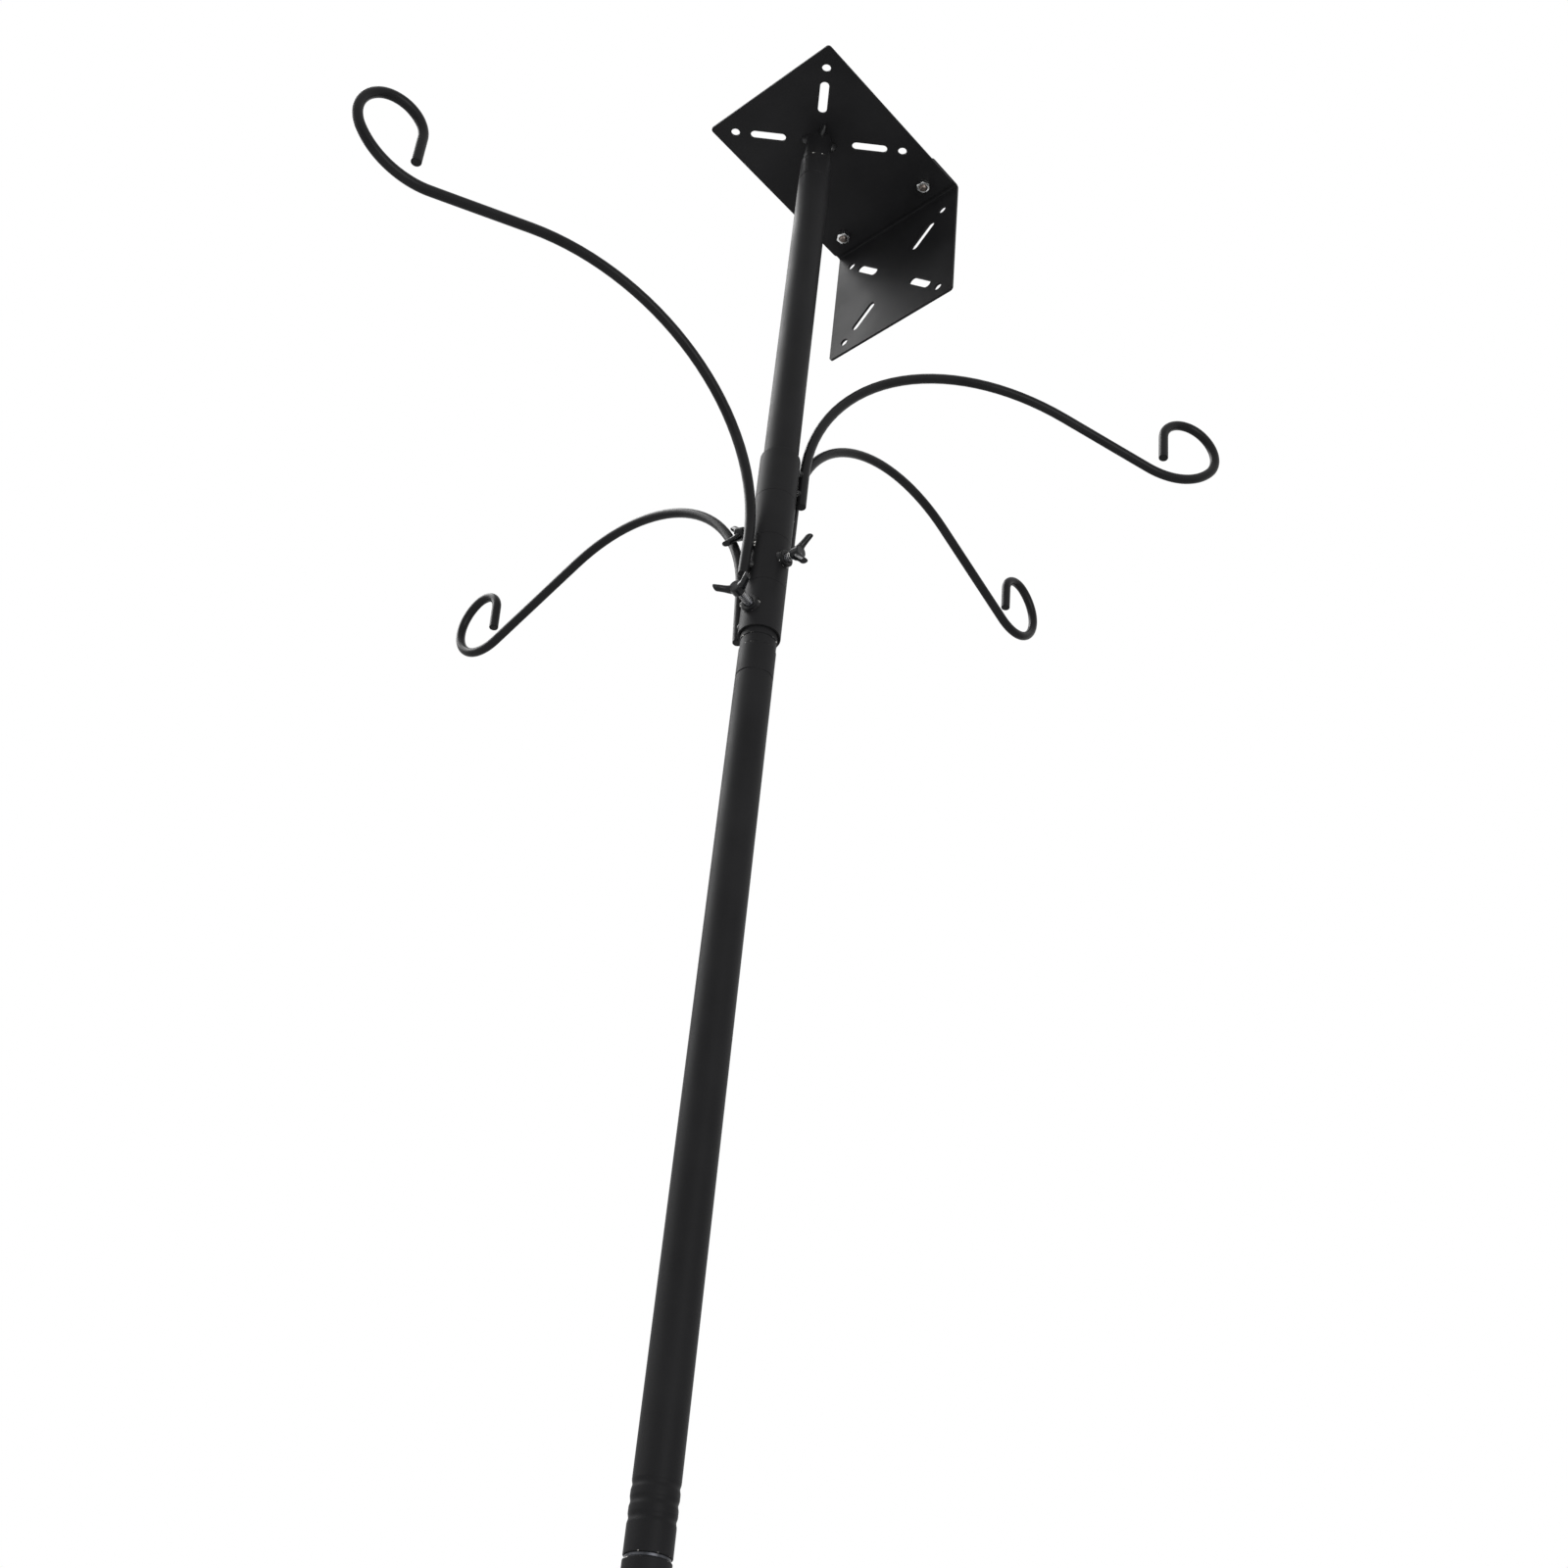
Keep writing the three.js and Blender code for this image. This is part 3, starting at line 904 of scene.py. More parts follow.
# The same kind of coat over drawn round bar: smoother, with narrow highlights along the bends. Its
# orange peel, 0.5 mm wide too, is drawn 2.5 mm wide.
GLOSS_COAT = Finish(
    name="semi_gloss_black_coat",
    slot=Slot.GLOSS_COAT,
    colour="#161617",
    second_colour="#1c1c1d",
    roughness=(0.27, 0.36),
    mottle=30,
    relief=2.5,
    relief_depth=0.01,
    specular=0.09,
)

# The same coat over lumps of weld metal, with small spots of bright steel as painted highlights.
# The ripples are 1.2 mm apart.
PAINTED_GLINT_WELD_COAT = Finish(
    name="weld_coat_painted_glints",
    slot=Slot.GLOSS_COAT,
    colour="#121213",
    second_colour="#1a1a1b",
    roughness=(0.2, 0.32),
    mottle=4,
    relief=1.2,
    relief_depth=0.06,
    specular=0.2,
    painted_glint_share=0.08,
)

# Bright zinc plate with a clear chromate on rolled steel bolts: silvery, a touch blue, cloudy. Its
# crystals are under 0.1 mm wide and are drawn 0.8 mm wide.
ZINC_PLATE = Finish(
    name="bright_zinc_plate",
    slot=Slot.ZINC,
    colour="#e3e4e5",
    second_colour="#c3c4c2",
    roughness=(0.14, 0.28),
    mottle=3,
    relief=0.8,
    relief_depth=0.02,
    metallic=1.0,
)

# The same plate in the bolts' thread and on their cut ends, made dull and a dark brownish grey.
DARK_DULL_ZINC = replace(
    ZINC_PLATE,
    name="dark_dull_zinc_thread",
    colour="#7d746e",
    second_colour="#5c5450",
    roughness=(0.3, 0.45),
    mottle=1.5,
    relief_depth=0.03,
)

# Cast zinc wings dipped black: dark and glossy, with the rounded, uneven skin of a casting. The
# mould's grain of 0.3 mm is drawn 1.2 mm wide.
BLACKENED_CASTING = Finish(
    name="blackened_casting",
    slot=Slot.BLACKENED,
    colour="#0e0f10",
    second_colour="#161719",
    roughness=(0.16, 0.26),
    mottle=4,
    relief=1.2,
    relief_depth=0.05,
    specular=0.2,
)

# Black oxide on rolled steel thread: the valleys stay dark and metallic. The steel's grain, under
# 0.1 mm, is drawn 0.6 mm wide.
BLACKENED_THREAD = Finish(
    name="blackened_thread",
    slot=Slot.BLACKENED,
    colour="#37383b",
    second_colour="#4b4c50",
    roughness=(0.26, 0.38),
    mottle=2,
    relief=0.6,
    relief_depth=0.015,
    metallic=1.0,
)

# The crests of the same thread painted bright steel: a painted highlight along each ridge.
CREST_PAINTED_HIGHLIGHT = replace(
    BLACKENED_THREAD,
    name="thread_crest_painted_highlight",
    colour="#dddcd8",
    second_colour="#b9b7b3",
    roughness=(0.25, 0.4),
)


def paint_two(obj: Obj, first: Finish, second: Finish, test: Test) -> None:
    """Gives a piece two finishes.

    Args:
        obj: The piece.
        first: The finish of most of it.
        second: The finish of the rest.
        test: Says of a face's middle, in millimetres, whether it takes the second finish.
    """
    first.paint(obj)
    second.paint(obj)
    for face in obj.data.polygons:
        face.material_index = int(test(face.center / MM))


def dress(
    obj: Obj,
    finish: Finish,
    body: str,
    node: str,
    angle: float | None = SMOOTH_ANGLE,
) -> None:
    """Finishes a piece: smooth shading, its finish, its body and the CAD node it stands for.

    Args:
        obj: The piece, at the origin.
        finish: Its finish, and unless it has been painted.
        body: The CAD body it rides on.
        node: The CAD node it stands for.
        angle: Edges sharper than this stay sharp, in degrees. None leaves its shading alone.
    """
    if angle is not None:
        smooth(obj, angle)
    if not obj.data.materials:
        finish.paint(obj)
    deselect()
    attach(obj, body)
    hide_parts(node)
    LOG.info("%s rides on %s, %d faces", obj.name, body, len(obj.data.polygons))


def weld_bead(centre: Vector, reach: Vector, seed: int, lump: float, finish: Finish) -> Obj:
    """A lump of weld metal: a ball pulled to size, its points pushed about and smoothed over.

    Args:
        centre: Its middle, in millimetres.
        reach: Its half sizes along X, Y and Z.
        seed: Which of the possible lumps it is.
        lump: How far its points are pushed.
        finish: What it is coated with.

    Returns:
        The bead.
    """
    deselect()
    bpy.ops.mesh.primitive_ico_sphere_add(
        subdivisions=2, radius=1, location=centre * MM, scale=reach * MM
    )
    bead = added("weld_bead")
    apply_place()
    edit_all()
    # Pushed partly any way and partly in or out
    bpy.ops.transform.vertex_random(offset=lump * MM, uniform=0.4, normal=0.6, seed=seed)
    leave_edit()
    apply_modifier(bead, "SUBSURF", levels=1, render_levels=1)
    finish.paint(bead)
    return settle(bead)


# Sub-assemblies


@dataclass
class PlateAssembly:
    """The slotted plate on top of the pole, the bent bracket, their bolts, and the welded boss."""

    body: str = "pole"
    face_gap: float = 0.1
    # The mounting plate
    underside: float = 1400
    thickness: float = 2
    half_side: float = 63.5
    reach: float = 99  # from the pole's axis to the edge beside the bracket
    # What both plates share; places are measured along a side from the pattern's middle
    corner: float = 3
    corner_steps: int = 6
    hole_place: float = 48.75
    hole_diameter: float = 7
    slot_place: float = 29.6
    slot_length: float = 29
    slot_width: float = 7.2
    edge_rounding: float = 0.3
    # The bracket
    flange_start: float = 70
    flange_low: float = 1402.1
    bracket_face: float = 103.7
    bracket_thickness: float = 2
    bracket_foot: float = 1272
    bracket_middle: float = 1333.6
    bend_radius: float = 1.5
    bend_steps: int = 8
    # Bolts and nuts
    bolt_x: float = 84.4
    bolt_y: float = 43.3
    bolt_hole: float = 6.6
    overrun: float = 2  # how far the holes' cutters run past a plate
    bolt_radius: float = 3
    bolt_tail: float = 1.8  # thread below the nut
    bolt_lead: float = 0.5
    bolt_point: float = 0.9
    thread_pitch: float = 1.5
    thread_ridge: float = 0.45
    bore_gap: float = 0.15
    countersink: float = 0.5
    hex_flats: float = 10
    hex_chamfer: float = 0.55
    hex_face_share: float = 0.96
    head_height: float = 4
    nut_height: float = 5
    # The boss and its beads
    boss_radius: float = 10.7
    boss_edge: float = 0.8
    collar_radius: float = 11.4
    collar_low: float = 1370.5
    collar_high: float = 1378.5
    spigot_radius: float = 9.75
    spigot_low: float = 1349
    bead_turn: float = -123
    bead_reaches: tuple[float, ...] = (9, 4.5, 4.5, 4.5)
    bead_heights: tuple[float, ...] = (7.5, 7, 7, 7)
    bead_half_width: float = 3.2
    bead_lump: float = 0.6
    bead_seed: int = 11

    def pattern_tools(self, centre: Vector, first: Vector, second: Vector) -> list[Obj]:
        """Cutters for the pattern that both plates share: a hole and a slot on each diagonal.

        Args:
            centre: The pattern's middle, in millimetres.
            first: One side's direction in the plate.
            second: The other side's direction.

        Returns:
            The cutters, which don't touch each other.
        """
        facing = first.cross(second)
        tools = []
        for across, up in product((-1, 1), repeat=2):
            corner = first * across + second * up
            hole = centre + corner * self.hole_place
            drill = peg("hole_tool", self.hole_diameter / 2, -DRILL_REACH, DRILL_REACH)
            tools.append(place(drill, Matrix.Translation(hole * MM) @ aimed(facing)))
            slot = centre + corner * self.slot_place
            diagonal = corner.normalized()
            tools.append(slot_tool(slot, diagonal, facing, self.slot_length, self.slot_width))
        return tools

    def bolt_tools(self, low: float, high: float) -> list[Obj]:
        """Cutters for the two bolt holes.

        Args:
            low: The height of their lower end.
            high: The height of their upper end.

        Returns:
            The cutters.
        """
        tools = []
        for side in (-1, 1):
            drill = peg("bolt_tool", self.bolt_hole / 2, low, high)
            tools.append(place(drill, shifted(self.bolt_x, side * self.bolt_y, 0)))
        return tools

    def mounting_plate(self) -> None:
        """The square plate: a block with rounded corners, punched, its edges softened."""
        middle_x = (self.reach - self.half_side) / 2
        middle_z = self.underside + self.thickness / 2
        size = mm(self.reach + self.half_side, 2 * self.half_side, self.thickness)
        deselect()
        bpy.ops.mesh.primitive_cube_add(size=1, location=mm(middle_x, 0, middle_z), scale=size)
        plate = settle(added("mounting_plate_sheet"))
        pick(plate, Pick.EDGES, lambda point: abs(point.z - middle_z) < NEAR)
        bpy.ops.mesh.bevel(offset=self.corner * MM, segments=self.corner_steps, affect="EDGES")
        tools = self.pattern_tools(Vector((0, 0, middle_z)), Vector((1, 0, 0)), Vector((0, 1, 0)))
        top = self.underside + self.thickness
        tools += self.bolt_tools(self.underside - self.overrun, top + self.overrun)
        carve(plate, Carve.CUT, merge_tools(tools))
        soften_edges(settle(plate), self.edge_rounding)
        dress(plate, POWDER_COAT, self.body, "mounting_plate", None)

    def back_bracket(self) -> None:
        """The bent bracket: a strip spun round the fold and drawn down, thickened and punched."""
        bend_x = self.bracket_face - self.bend_radius
        bend_z = self.flange_low - self.bend_radius
        flange_middle = (self.flange_start + bend_x) / 2
        size = mm(bend_x - self.flange_start, 2 * self.half_side, 1)
        deselect()
        bpy.ops.mesh.primitive_plane_add(size=1, location=mm(flange_middle, 0, self.flange_low))
        sheet = added("back_bracket_sheet")
        sheet.scale = size
        apply_place()
        pick(sheet, Pick.EDGES, lambda point: point.x > bend_x - NEAR)
        bpy.ops.mesh.spin(
            steps=self.bend_steps,
            angle=-math.pi / 2,
            center=mm(bend_x, 0, bend_z),
            axis=(0, 1, 0),
        )
        extrude(mm(0, 0, self.bracket_foot - bend_z))
        pick(
            sheet,
            Pick.VERTICES,
            lambda point: abs(point.x - self.flange_start) < NEAR
            or abs(point.z - self.bracket_foot) < NEAR,
        )
        bpy.ops.mesh.bevel(offset=self.corner * MM, segments=self.corner_steps, affect="VERTICES")
        settle(sheet)
        flange = min(sheet.data.polygons, key=lambda face: face.center.x)
        if flange.normal.z < 0:
            edit_all()
            bpy.ops.mesh.flip_normals()
            leave_edit()
        apply_modifier(sheet, "SOLIDIFY", thickness=self.bracket_thickness * MM, offset=1.0)
        settle(sheet)
        centre = Vector((self.bracket_face + self.bracket_thickness / 2, 0, self.bracket_middle))
        tools = self.pattern_tools(centre, Vector((0, 1, 0)), Vector((0, 0, 1)))
        top = self.flange_low + self.bracket_thickness
        tools += self.bolt_tools(self.flange_low - self.overrun / 2, top + self.overrun)
        carve(sheet, Carve.CUT, merge_tools(tools))
        soften_edges(settle(sheet), self.edge_rounding)
        dress(sheet, POWDER_COAT, self.body, "back_bracket", None)

    def hexagon(self, name: str, low: float, high: float) -> Obj:
        """A hexagonal blank whose corners are turned off at both ends.

        Args:
            name: Its name.
            low: Its lower face's height.
            high: Its upper face's height.

        Returns:
            The blank, on the Z axis.
        """
        corner = self.hex_flats / 2 / math.cos(math.pi / HEXAGON_SIDES)
        face = self.hex_flats / 2 * self.hex_face_share
        chamfer = self.hex_chamfer
        profile = [(face, low), (corner, low + chamfer), (corner, high - chamfer), (face, high)]
        blank = peg(name, corner, low, high, HEXAGON_SIDES)
        return carve(blank, Carve.TRIM, turned("chamfer_tool", profile, NUT_SIDES))

    def bolt(self) -> Obj:
        """A bolt with its head up and the head's seat at height 0.

        Returns:
            The bolt, its head bright and its stem dull and dark.
        """
        # Gaps under the head, between the plates and over the nut
        grip = self.bracket_thickness + self.thickness + 3 * self.face_gap
        nut_low = -(grip + self.nut_height)
        nut_high = nut_low + self.nut_height
        end = nut_low - self.bolt_tail
        start = end + self.bolt_lead
        radius = self.bolt_radius
        root = radius - self.thread_ridge
        shank = [
            (radius - self.bolt_point, end),
            (root, start),
            *thread(radius, start, nut_high, self.thread_pitch, self.thread_ridge),
            (root, nut_high),
            (radius, nut_high + self.bolt_lead),
            (radius, self.head_height / 2),
        ]
        head = self.hexagon("bracket_bolt", self.face_gap, self.head_height)
        ZINC_PLATE.paint(head)
        stem = turned("shank_tool", shank, THREAD_SIDES)
        DARK_DULL_ZINC.paint(stem)
        return carve(head, Carve.JOIN, stem)

    def nut(self) -> Obj:
        """A nut with its seat at height 0, bored and countersunk.

        Returns:
            The nut.
        """
        low = -self.nut_height
        bore = self.bolt_radius + self.bore_gap
        sink = self.countersink
        profile = [
            (bore + sink + 1, low - 1),
            (bore + sink, low),
            (bore, low + sink),
            (bore, -sink),
            (bore + sink, 0),
            (bore + sink + 1, 1),
        ]
        nut = self.hexagon("bracket_nut", low, 0)
        return carve(nut, Carve.CUT, turned("bore_tool", profile, THREAD_SIDES))

    def fasteners(self) -> None:
        """The two bolts and nuts, each modelled once, copied and turned as it was tightened."""
        patterns = {"bolt": self.bolt(), "nut": self.nut()}
        seats = {
            "bolt": self.flange_low + self.bracket_thickness,
            "nut": self.underside - self.face_gap,
        }
        turns = {"bolt_left": 9, "bolt_right": 38, "nut_left": 20, "nut_right": 3}
        for (kind, pattern), word in product(patterns.items(), ("left", "right")):
            node = f"bracket_{kind}_{word}"
            y = self.bolt_y if word == "left" else -self.bolt_y
            piece = twin(pattern, f"{node}_zinc")
            place(piece, shifted(self.bolt_x, y, seats[kind]) @ rotated(turns[f"{kind}_{word}"]))
            dress(settle(piece), ZINC_PLATE, self.body, node)
        for pattern in patterns.values():
            discard(pattern)

    def boss(self) -> None:
        """The boss under the plate, with four gusset beads of weld that reach out on the plate."""
        top = self.underside - self.face_gap
        low, high, edge = self.collar_low, self.collar_high, self.boss_edge
        profile = [
            (self.spigot_radius - edge, self.spigot_low),
            (self.spigot_radius, self.spigot_low + edge),
            (self.spigot_radius, low),
            *rounded(self.collar_radius, low, high, edge, edge / 2),
            (self.boss_radius, high + self.face_gap),
            (self.boss_radius, top),
        ]
        boss = turned("plate_boss_welded", profile, TUBE_SIDES)
        # The collar's rounded edges take the coat with painted highlights, spots of bright steel.
        paint_two(
            boss,
            POWDER_COAT,
            COAT_WITH_PAINTED_GLINTS,
            lambda point: low < point.z < high and not low + edge < point.z < high - edge / 2,
        )
        centre = Vector((self.boss_radius, 0, self.underside))
        for i, (reach, height) in enumerate(zip(self.bead_reaches, self.bead_heights)):
            size = Vector((reach, self.bead_half_width, height))
            bead = weld_bead(centre, size, self.bead_seed + i, self.bead_lump, COATED_WELD)
            place(bead, rotated(self.bead_turn + 90 * i))
            edit_all()
            bpy.ops.mesh.bisect(
                plane_co=mm(0, 0, top), plane_no=(0, 0, 1), use_fill=True, clear_outer=True
            )
            leave_edit()
            carve(boss, Carve.JOIN, bead)
        dress(settle(boss), POWDER_COAT, self.body, "plate_boss", WELDED_ANGLE)

    def build(self) -> None:
        """Builds and dresses the whole assembly."""
        self.mounting_plate()
        self.back_bracket()
        self.fasteners()
        self.boss()


@dataclass
class Pole:
    """Three tubes, the plugs whose collars show between them, and the bushes inside them."""

    body: str = "pole"
    face_gap: float = 0.1
    radius: float = 12.5
    bore: float = 11.3
    edge: float = 0.5
    bore_edge: float = 0.15
    lower_base: float = -26.5
    lower_top: float = 273.5
    middle_base: float = 275.5
    middle_top: float = 851.5
    upper_base: float = 859
    upper_top: float = 1369
    # The crimp over each bush, and the grooves rolled into the middle tube over its plug
    crimp_drop: float = 23
    crimp_width: float = 1.8
    crimp_depth: float = 0.5
    rolled_rise: float = 17.5
    rolled_pitch: float = 8.2
    rolled_width: float = 5.6
    rolled_depth: float = 0.5
    rolled_count: int = 3
    # The plugs; a collar has its radius and its height
    spigot: float = 9.75
    spigot_length: float = 20
    spigot_edge: float = 0.8
    plug_body: float = 11.15
    plug_rise: float = 42
    upper_collar: Station = (12.1, 7.3)
    middle_collar: Station = (11.7, 1.8)

    def tube(self, node: str, base: float, top: float, rolled: bool = False) -> None:
        """One tube with round rims, its crimp near the top and, if asked, grooves near its foot.

        Args:
            node: The CAD node it stands for.
            base: The height of its lower rim.
            top: The height of its upper rim.
            rolled: Whether it has the rolled grooves.
        """
        grooves = []
        for i in range(self.rolled_count if rolled else 0):
            middle = base + self.rolled_rise + i * self.rolled_pitch
            grooves += groove(self.radius, middle, self.rolled_width, self.rolled_depth)
        grooves += groove(self.radius, top - self.crimp_drop, self.crimp_width, self.crimp_depth)
        inner = self.radius - self.edge
        profile = [
            *rounding(inner, base + self.edge, self.edge, -90),
            *grooves,
            *rounding(inner, top - self.edge, self.edge, 0),
            *bore_wall(self.bore, base, top, self.bore_edge),
        ]
        tube = turned(f"{node}_steel", profile, TUBE_SIDES, Wall.RING)
        # The rims take the coat with painted highlights, spots of bright steel.
        paint_two(
            tube,
            POWDER_COAT,
            COAT_WITH_PAINTED_GLINTS,
            lambda point: not base + self.edge < point.z < top - self.edge
            and math.hypot(point.x, point.y) > inner,
        )
        dress(tube, POWDER_COAT, self.body, node)

    def plug(self, node: str, tube_base: float, collar: Station, finish: Finish) -> None:
        """A threaded plug: body in the tube's foot, a collar that shows, and a spigot below.

        Args:
            node: The CAD node it stands for.
            tube_base: The height of its tube's lower rim.
            collar: The collar's radius and height.
            finish: Its finish.
        """
        radius, height = collar
        low = tube_base - self.face_gap - height
        foot = low - self.spigot_length
        profile = [
            (self.spigot - self.spigot_edge, foot),
            (self.spigot, foot + self.spigot_edge),
            (self.spigot, low),
            *rounded(radius, low, low + height, self.edge, self.edge / 2),
            (self.plug_body, low + height),
            (self.plug_body, tube_base + self.plug_rise),
        ]
        dress(turned(f"{node}_steel", profile, TUBE_SIDES), finish, self.body, node)

    def build(self) -> None:
        """Builds the tubes and plugs, and dresses the bushes, which stay as the CAD has them."""
        self.tube("lower_tube", self.lower_base, self.lower_top)
        self.tube("middle_tube", self.middle_base, self.middle_top, rolled=True)
        self.tube("upper_tube", self.upper_base, self.upper_top)
        self.plug("upper_tube_plug", self.upper_base, self.upper_collar, POWDER_COAT)
        self.plug("middle_tube_plug", self.middle_base, self.middle_collar, BLACKENED_THREAD)
        for name in ("lower_tube_bush", "middle_tube_bush", "upper_tube_bush"):
            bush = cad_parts[name]
            bush.data.materials.clear()
            BLACKENED_THREAD.paint(bush)
            LOG.info("%s stays as the CAD has it", name)


@dataclass(frozen=True)
class Rod:
    """The bends of one kind of hook rod, from its welded end.

    Attributes:
        diameter: The bar's diameter.
        path: Straight up, over the crown, down the run, then the curl and its tip.
    """

    diameter: float
    path: tuple[Run | Bend, ...]


LONG_ROD = Rod(
    7.6,
    (Run(31.5), Bend(159, -107), Run(76), Bend(51, 70), Bend(28, 86), Bend(22, 129), Run(24)),
)
SHORT_ROD = Rod(
    7.1,
    (
        Run(46.5),
        Bend(115, -115),
        Run(88),
        Bend(31.5, 35),
        Bend(27, 142),
        Bend(15.5, 118),
        Run(20.5),
    ),
)

LAID_ALONG_X = rotated(90, "Y")  # brings a piece that was turned about Z to the X axis


@dataclass(frozen=True)
class Arm:
    """One hook on its sleeve.

    Attributes:
        number: Its number, from the top.
        rod: The kind of rod.
        base: The height of its sleeve's lower rim.
        turn: Where its rod points, in degrees about the pole.
        lean: How far the rod leans sideways.
        tilt: How far it leans outwards.
        screw_turn: Where its screw sits from its rod.
        wing_roll: How the wings are rolled from upright.
        screw_rise: The screw's height on the sleeve.
        bare_thread: The thread that shows between the nut and the hub.
    """

    number: int
    rod: Rod
    base: float
    turn: float
    lean: float
    tilt: float
    screw_turn: float
    wing_roll: float
    screw_rise: float
    bare_thread: float

    def spot(self) -> Matrix:
        """Where its sleeve's frame is."""
        return shifted(0, 0, self.base) @ rotated(self.turn)

    def screw_spot(self) -> Matrix:
        """Where its screw is on the sleeve: the screw along X and its wings upright."""
        return shifted(0, 0, self.screw_rise) @ rotated(self.screw_turn)


@dataclass
class HookArms:
    """Four sleeves on the pole, each with its hook rod, its round nut and its wing screw.

    Attributes:
        nut_flare: The weld round a nut's foot: how far it stands out, and how far along the screw.
        wing_stations: A wing's ribs from the hub outwards: the distance across and along the
            screw, the half length along the screw and the half thickness.
        patterns: What several arms share, by name.
    """

    arms: tuple[Arm, ...] = (
        Arm(1, LONG_ROD, 988.2, -28.6, 0, 0, 89.6, 15, 20.5, 3.7),
        Arm(2, SHORT_ROD, 946.8, -0.5, -1, -0.5, 111.5, -22.6, 17.2, 2.9),
        Arm(3, LONG_ROD, 905.4, 168.1, 2.6, 0.3, 104.3, 6.2, 22.1, 5.4),
        Arm(4, SHORT_ROD, 864, 93.5, 3.5, 1.1, 97.4, -94, 18.1, 10.9),
    )
    # Sleeves
    sleeve_radius: float = 14.4
    sleeve_bore: float = 13.0
    sleeve_length: float = 41.3
    sleeve_edge: float = 0.25
    bore_edge: float = 0.2
    # Rods and their tack welds
    stand_off: float = 0.6
    rod_foot: float = 3.5
    bar_share: float = 0.982
    weld_gap: float = 0.3
    weld_heights: tuple[float, float] = (14, 33)
    weld_reach: Triple = (3.4, 4.5, 3.5)
    weld_lump: float = 0.5
    weld_seeds: int = 10
    # Nuts; a face's place is its distance from the pole's axis
    nut_radius: float = 6.25
    nut_face: float = 17.3
    nut_bore: float = 3.3
    nut_edge: float = 0.9
    nut_sink: float = 0.6
    nut_flare: tuple[Station, ...] = ((1.6, 9), (0.9, 12), (0.3, 14.0), (0, 14.9))
    flare_end: float = 15
    drill_gap: float = 0.2
    drill_length: float = 20
    # Screws
    screw_radius: float = 3
    screw_tip: float = 12.7
    screw_point: float = 0.3
    thread_pitch: float = 1.5
    thread_ridge: float = 0.45
    crest_highlight_share: float = 0.3  # how much of a ridge takes the painted highlight
    hub_radius: float = 4.8
    hub_length: float = 6.8
    hub_edge: float = 0.9
    wing_stations: tuple[tuple[float, float, float, float], ...] = (
        (1.0, 3.4, 3.5, 3.4),
        (4.6, 4.2, 3.7, 3.0),
        (6.8, 6.1, 3.7, 2.5),
        (9.0, 8.3, 3.5, 2.3),
        (12.3, 10.9, 3.3, 2.35),
        (12.6, 11.1, 3.2, 2.3),
        (12.7, 11.2, 2.9, 2.1),
    )
    wall_low: float = -30
    wall_high: float = 70
    patterns: dict[str, Obj] = field(default_factory=dict)

    def copy_of(self, key: str, make: Callable[[], Obj], name: str) -> Obj:
        """Copies a pattern, which is modelled when it is first asked for.

        Args:
            key: The pattern's name.
            make: Models it.
            name: The copy's name.

        Returns:
            The copy.
        """
        if key not in self.patterns:
            self.patterns[key] = make()
        return twin(self.patterns[key], name)

    def wall_tool(self) -> Obj:
        """A cutter as wide as the sleeve with the gap of a weld round it."""
        radius = self.sleeve_radius + self.weld_gap
        return peg("wall_tool", radius, self.wall_low, self.wall_high, TUBE_SIDES)

    def sleeve(self, arm: Arm) -> None:
        """The short tube that turns on the pole, with round rims, drilled for its screw.

        Args:
            arm: The arm that it belongs to.
        """
        length, edge = self.sleeve_length, self.sleeve_edge
        profile = [
            *rounded(self.sleeve_radius, 0, length, edge, edge),
            *bore_wall(self.sleeve_bore, 0, length, self.bore_edge),
        ]
        sleeve = turned(f"sleeve_{arm.number}_steel", profile, TUBE_SIDES, Wall.RING)
        radius = self.nut_bore + self.drill_gap
        drill = peg("drill_tool", radius, 0, self.drill_length, THREAD_SIDES)
        place(drill, arm.screw_spot() @ LAID_ALONG_X)
        carve(sleeve, Carve.CUT, drill)
        place(sleeve, arm.spot())
        dress(settle(sleeve), POWDER_COAT, f"arm_{arm.number}", f"sleeve_{arm.number}")

    def hook_rod(self, arm: Arm) -> None:
        """The bent rod with its two tack welds, kept clear of the sleeve's wall by the weld's gap.

        The bar is drawn a hair thinner than it is, so that it stays inside the CAD's faceted bar.

        Args:
            arm: The arm that it belongs to.
        """
        bar = f"rod_{arm.rod.diameter:g}"
        bender = BarBender(self.bar_share * arm.rod.diameter, 0, self.rod_foot, 90)
        node = f"hook_rod_{arm.number}"
        rod = self.copy_of(bar, lambda: bender.make(bar, arm.rod.path), f"{node}_bar")
        GLOSS_COAT.paint(rod)
        out = self.sleeve_radius + self.stand_off
        axis = shifted(out + arm.rod.diameter / 2, 0, 0)
        place(rod, axis @ rotated(-arm.lean, "X") @ rotated(arm.tilt, "Y"))
        reach = Vector(self.weld_reach)
        for i, height in enumerate(self.weld_heights):
            centre = Vector((out, height * math.sin(math.radians(arm.lean)), height))
            seed = self.weld_seeds * arm.number + i
            # The tack welds take the weld coat with its painted highlights.
            bead = weld_bead(centre, reach, seed, self.weld_lump, PAINTED_GLINT_WELD_COAT)
            carve(rod, Carve.JOIN, carve(bead, Carve.CUT, self.wall_tool()))
        place(rod, arm.spot())
        dress(settle(rod), GLOSS_COAT, f"arm_{arm.number}", node, WELDED_ANGLE)

    def round_nut(self) -> Obj:
        """A round nut along X, saddled to the sleeve on a flare of weld and countersunk.

        Returns:
            The nut, bored, its outer edge broken.
        """
        radius, edge, bore, sink = self.nut_radius, self.nut_edge, self.nut_bore, self.nut_sink
        profile = [(radius + out, height) for out, height in self.nut_flare]
        profile += rounding(radius - edge, self.nut_face - edge, edge, 0)
        nut = turned("sleeve_nut", profile, NUT_SIDES)
